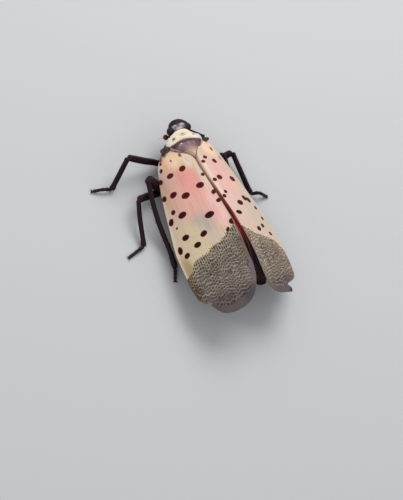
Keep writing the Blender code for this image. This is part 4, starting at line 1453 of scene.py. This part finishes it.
RIGHT_SPOTS = (
    Spot(2.48, 0.6, 0.38, 0.24, 100), Spot(3.04, -0.2, 0.43, 0.22, 99), Spot(3.08, 2.09, 0.49, 0.32, 88),
    Spot(5.42, 1.08, 0.55, 0.34, 96), Spot(5.67, -0.05, 0.4, 0.26, 96), Spot(5.67, 3.86, 0.66, 0.4, 92),
    Spot(7.48, 0.57, 0.31, 0.23, 100), Spot(8.02, -0.05, 0.33, 0.25, 100), Spot(9.15, 2.12, 0.59, 0.37, 94),
    Spot(8.5, 3.75, 0.52, 0.4, 90), Spot(8.75, 4.65, 0.55, 0.4, 90), Spot(10.42, 0.83, 0.52, 0.3, 82),
    Spot(9.85, 5.45, 0.44, 0.27, 100), Spot(12.82, 3.06, 0.42, 0.34, 98), Spot(12.42, 4.32, 0.42, 0.29, 98),
    Spot(13.47, 5.45, 0.44, 0.25, 80), Spot(11.35, 5.6, 0.4, 0.24, 100),
)
LEFT_PATCHES = (
    Patch((4.5, 5.4), (4.6, 1.3), (214, 176, 150), 0.9, 0.3),
    Patch((6.0, 2.7), (5.4, 3.1), (236, 180, 164), 1.0, 0.45),
    Patch((4.3, 2.2), (3.4, 1.5), (246, 168, 155), 0.85, 0.15),
    Patch((3.4, 2.9), (1.6, 0.9), (240, 158, 142), 0.5, 0.1),
    Patch((0.7, 2.9), (2.2, 1.9), (252, 216, 182), 1.0, 0.45),
    Patch((1.9, 1.3), (1.6, 0.9), (242, 216, 190), 0.9, 0.4),
    Patch((4.8, 0.55), (4.2, 0.55), (240, 214, 190), 0.85, 0.5),
    Patch((8.9, 1.0), (3.8, 1.1), (244, 196, 188), 0.9, 0.4),
    Patch((9.2, 1.6), (1.8, 0.7), (238, 172, 164), 0.6, 0.2),
    Patch((10.0, 3.3), (2.3, 1.7), (196, 180, 166), 1.0, 0.25),
    Patch((11.9, 5.4), (3.2, 2.8), (222, 200, 166), 1.0, 0.5),
    Patch((12.2, 2.6), (1.3, 1.6), (214, 192, 168), 0.9, 0.4),
    Patch((14.2, 7.5), (2.4, 1.2), (176, 150, 112), 0.9, 0.4),
    Patch((9.0, 7.6), (6.0, 0.8), (224, 200, 168), 0.8, 0.3),
    Patch((1.5, 3.9), (1.5, 0.5), (244, 178, 146), 0.8, 0.1),
    Patch((2.3, 3.4), (1.4, 0.16), (242, 180, 154), 0.7, 0.2),
    Patch((0.8, 2.7), (1.3, 1.0), (255, 220, 182), 0.8, 0.3),
    Patch((1.0, 3.6), (0.7, 0.35), (255, 196, 158), 0.7, 0.2),
    Patch((-0.1, 3.45), (0.75, 0.5), (98, 70, 74), 0.95, 0.4),
    Patch((0.35, 4.1), (0.6, 0.45), (98, 70, 74), 0.95, 0.4),
    Patch((-0.1, 3.0), (0.3, 0.16), (150, 118, 112), 0.7, 0.2),
    Patch((1.5, 4.85), (2.1, 0.4), (214, 200, 194), 0.6, 0.3),
    Patch((1.05, 1.75), (0.36, 0.24), (112, 60, 32), 0.95, 0.4),
    Patch((1.2, 3.0), (0.22, 0.2), (150, 68, 32), 0.95, 0.4),
    Patch((7.25, 0.62), (0.2, 0.14), (168, 140, 124), 0.7, 0.2),
)
RIGHT_PATCHES = (
    Patch((5.4, 2.0), (4.2, 2.6), (236, 187, 174), 1.0, 0.35),
    Patch((0.7, 2.6), (2.3, 2.0), (248, 212, 180), 1.0, 0.45),
    Patch((9.0, 0.8), (2.4, 1.1), (230, 192, 182), 0.9, 0.4),
    Patch((5.6, -0.2), (4.6, 0.6), (240, 210, 188), 0.85, 0.4),
    Patch((10.8, 4.8), (3.6, 2.8), (212, 194, 174), 1.0, 0.5),
    Patch((1.25, 3.2), (0.42, 0.46), (112, 50, 34), 0.95, 0.4),
    Patch((2.5, 4.2), (0.42, 0.36), (106, 84, 68), 0.9, 0.3),
    Patch((0.3, 4.0), (0.7, 0.5), (214, 180, 156), 0.7, 0.2),
)
LEFT_OUTER = (
    Patch((15.0, 0.4), (3.0, 1.2), (112, 92, 82), 0.8, 0.3),
    Patch((20.6, 4.4), (3.2, 6.0), (96, 84, 84), 0.9, 0.4),
    Patch((17.0, 7.9), (5.0, 1.2), (104, 86, 66), 0.9, 0.3),
    Patch((17.6, 0.5), (2.4, 1.0), (118, 106, 110), 0.9, 0.3),
    Patch((19.9, 1.6), (1.6, 1.9), (84, 74, 76), 0.9, 0.3),
)
RIGHT_OUTER = (
    Patch((15.5, 0.9), (4.0, 1.2), (150, 136, 124), 0.9, 0.3),
    Patch((16.0, 6.8), (4.0, 2.6), (146, 120, 102), 0.8, 0.3),
    Patch((20.5, 4.4), (2.6, 6.0), (104, 92, 90), 0.9, 0.4),
    Patch((20.7, 4.5), (0.6, 0.7), (58, 38, 40), 0.9, 0.2),
)
LEFT_BOUNDARY = ((-0.5, 11.3), (0.6, 11.65), (1.4, 12.1), (2.5, 12.75), (3.7, 13.0), (4.65, 13.45), (5.9, 13.6), (6.5, 13.85), (6.9, 14.6), (7.5, 14.9), (8.1, 15.2))
RIGHT_BOUNDARY = ((-0.5, 11.9), (0.2, 12.25), (1.1, 12.85), (1.9, 13.4), (3.4, 13.85), (5.1, 14.25), (6.5, 14.9), (8.1, 15.6))

LEGS = (
    Leg(
        "fore_left", (1.25, -3.35, 1.7), (2.4, -2.25, 1.04), (4.9, -2.6, 2.36), (7.42, -3.1, 3.72),
        (9.37, -0.97, 0.42), (11.78, -1.55, 0.15), foot_arch=0.3, femur_radius=0.41, tibia_radius=0.31, knee_radius=0.38,
    ),
    Leg(
        "fore_right", (-1.25, -3.35, 1.7), (-1.7, -2.1, 1.0), (-2.65, -2.6, 2.0), (-3.22, -3.25, 3.08),
        (-2.9, -5.6, 0.42), (-1.9, -6.9, 0.15), tibia_radius=0.23, femur_radius=0.3, knee_radius=0.3,
    ),
    Leg(
        "mid_left", (1.25, -1.1, 1.4), (2.2, 0.2, 0.41), (4.1, 1.0, 0.7), (7.66, 1.66, 2.3),
        (8.54, 6.64, 0.42), (10.88, 7.4, 0.15), femur_radius=0.43, tibia_radius=0.29, knee_radius=0.42,
        bow=(0.1, 0.0, 0.0),
    ),
    Leg(
        "mid_right", (-1.25, -1.1, 1.4), (-2.1, -0.2, 0.42), (-4.4, -0.75, 0.64), (-6.6, -0.88, 1.66),
        (-7.23, 4.3, 0.42), (-9.33, 5.16, 0.15), foot_arch=0.6, femur_radius=0.4, tibia_radius=0.34, knee_radius=0.41,
    ),
    Leg(
        "hind_left", (1.25, 0.35, 1.4), (2.0, 1.0, 1.05), (4.1, 0.6, 1.45), (5.92, -0.08, 3.13),
        (5.96, 10.23, 0.45), (6.57, 11.69, 0.15), tibia_radius=0.31, femur_radius=0.62, knee_radius=0.61,
        bow=(0.34, 0.0, 0.0),
        spine_shares=(0.3, 0.46, 0.6, 0.74, 0.87),
    ),
    Leg(
        "hind_right", (-1.25, 0.35, 1.4), (-2.0, 1.0, 1.1), (-4.15, -0.42, 1.5), (-5.25, -0.95, 2.02),
        (-4.6, 9.3, 0.45), (-4.9, 10.8, 0.15), tibia_radius=0.3, spine_shares=(0.3, 0.46, 0.6, 0.74, 0.87),
    ),
)


def write_size(label: str, sizes: dict) -> None:
    low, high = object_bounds()
    sizes[label] = [list(low), list(high)]


def main() -> None:
    """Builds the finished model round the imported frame."""
    logging.basicConfig(level=logging.INFO, format="%(message)s")
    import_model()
    sizes: dict = {}
    write_size("cad", sizes)
    frame = BodyFrame.from_pronotum()
    ForeWing("left", LEFT_BLADE, LEFT_SPOTS, LEFT_PATCHES, LEFT_OUTER, LEFT_BOUNDARY).build(frame)
    ForeWing("right", RIGHT_BLADE, RIGHT_SPOTS, RIGHT_PATCHES, RIGHT_OUTER, RIGHT_BOUNDARY, base=(224, 194, 174), outer=(134, 119, 106), fold_depth=0.36,
        rim_widths=((-90.0, 0.1), (-60.0, 0.25), (-25.0, 0.6), (0.0, 0.7), (30.0, 0.4), (90.0, 0.12)),
    ).build(frame)
    HindWing("left", LEFT_BLADE, ((6.5, -0.9), (9.0, 0.25), (10.5, 0.4), (13.0, 0.5), (16.0, 1.3), (18.9, 1.6))).build(frame)
    HindWing("right", RIGHT_BLADE, ((6.5, -0.9), (9.5, -0.1), (13.0, 0.1), (16.0, 0.7), (18.9, 1.0))).build(frame)
    Pronotum().build(frame)
    Thorax().build(frame)
    Abdomen().build(frame)
    Head().build(frame)
    for leg in LEGS:
        leg.build(frame)
    Studio(frame).build()
    write_size("shown", sizes)


if __name__ == "__main__":
    main()
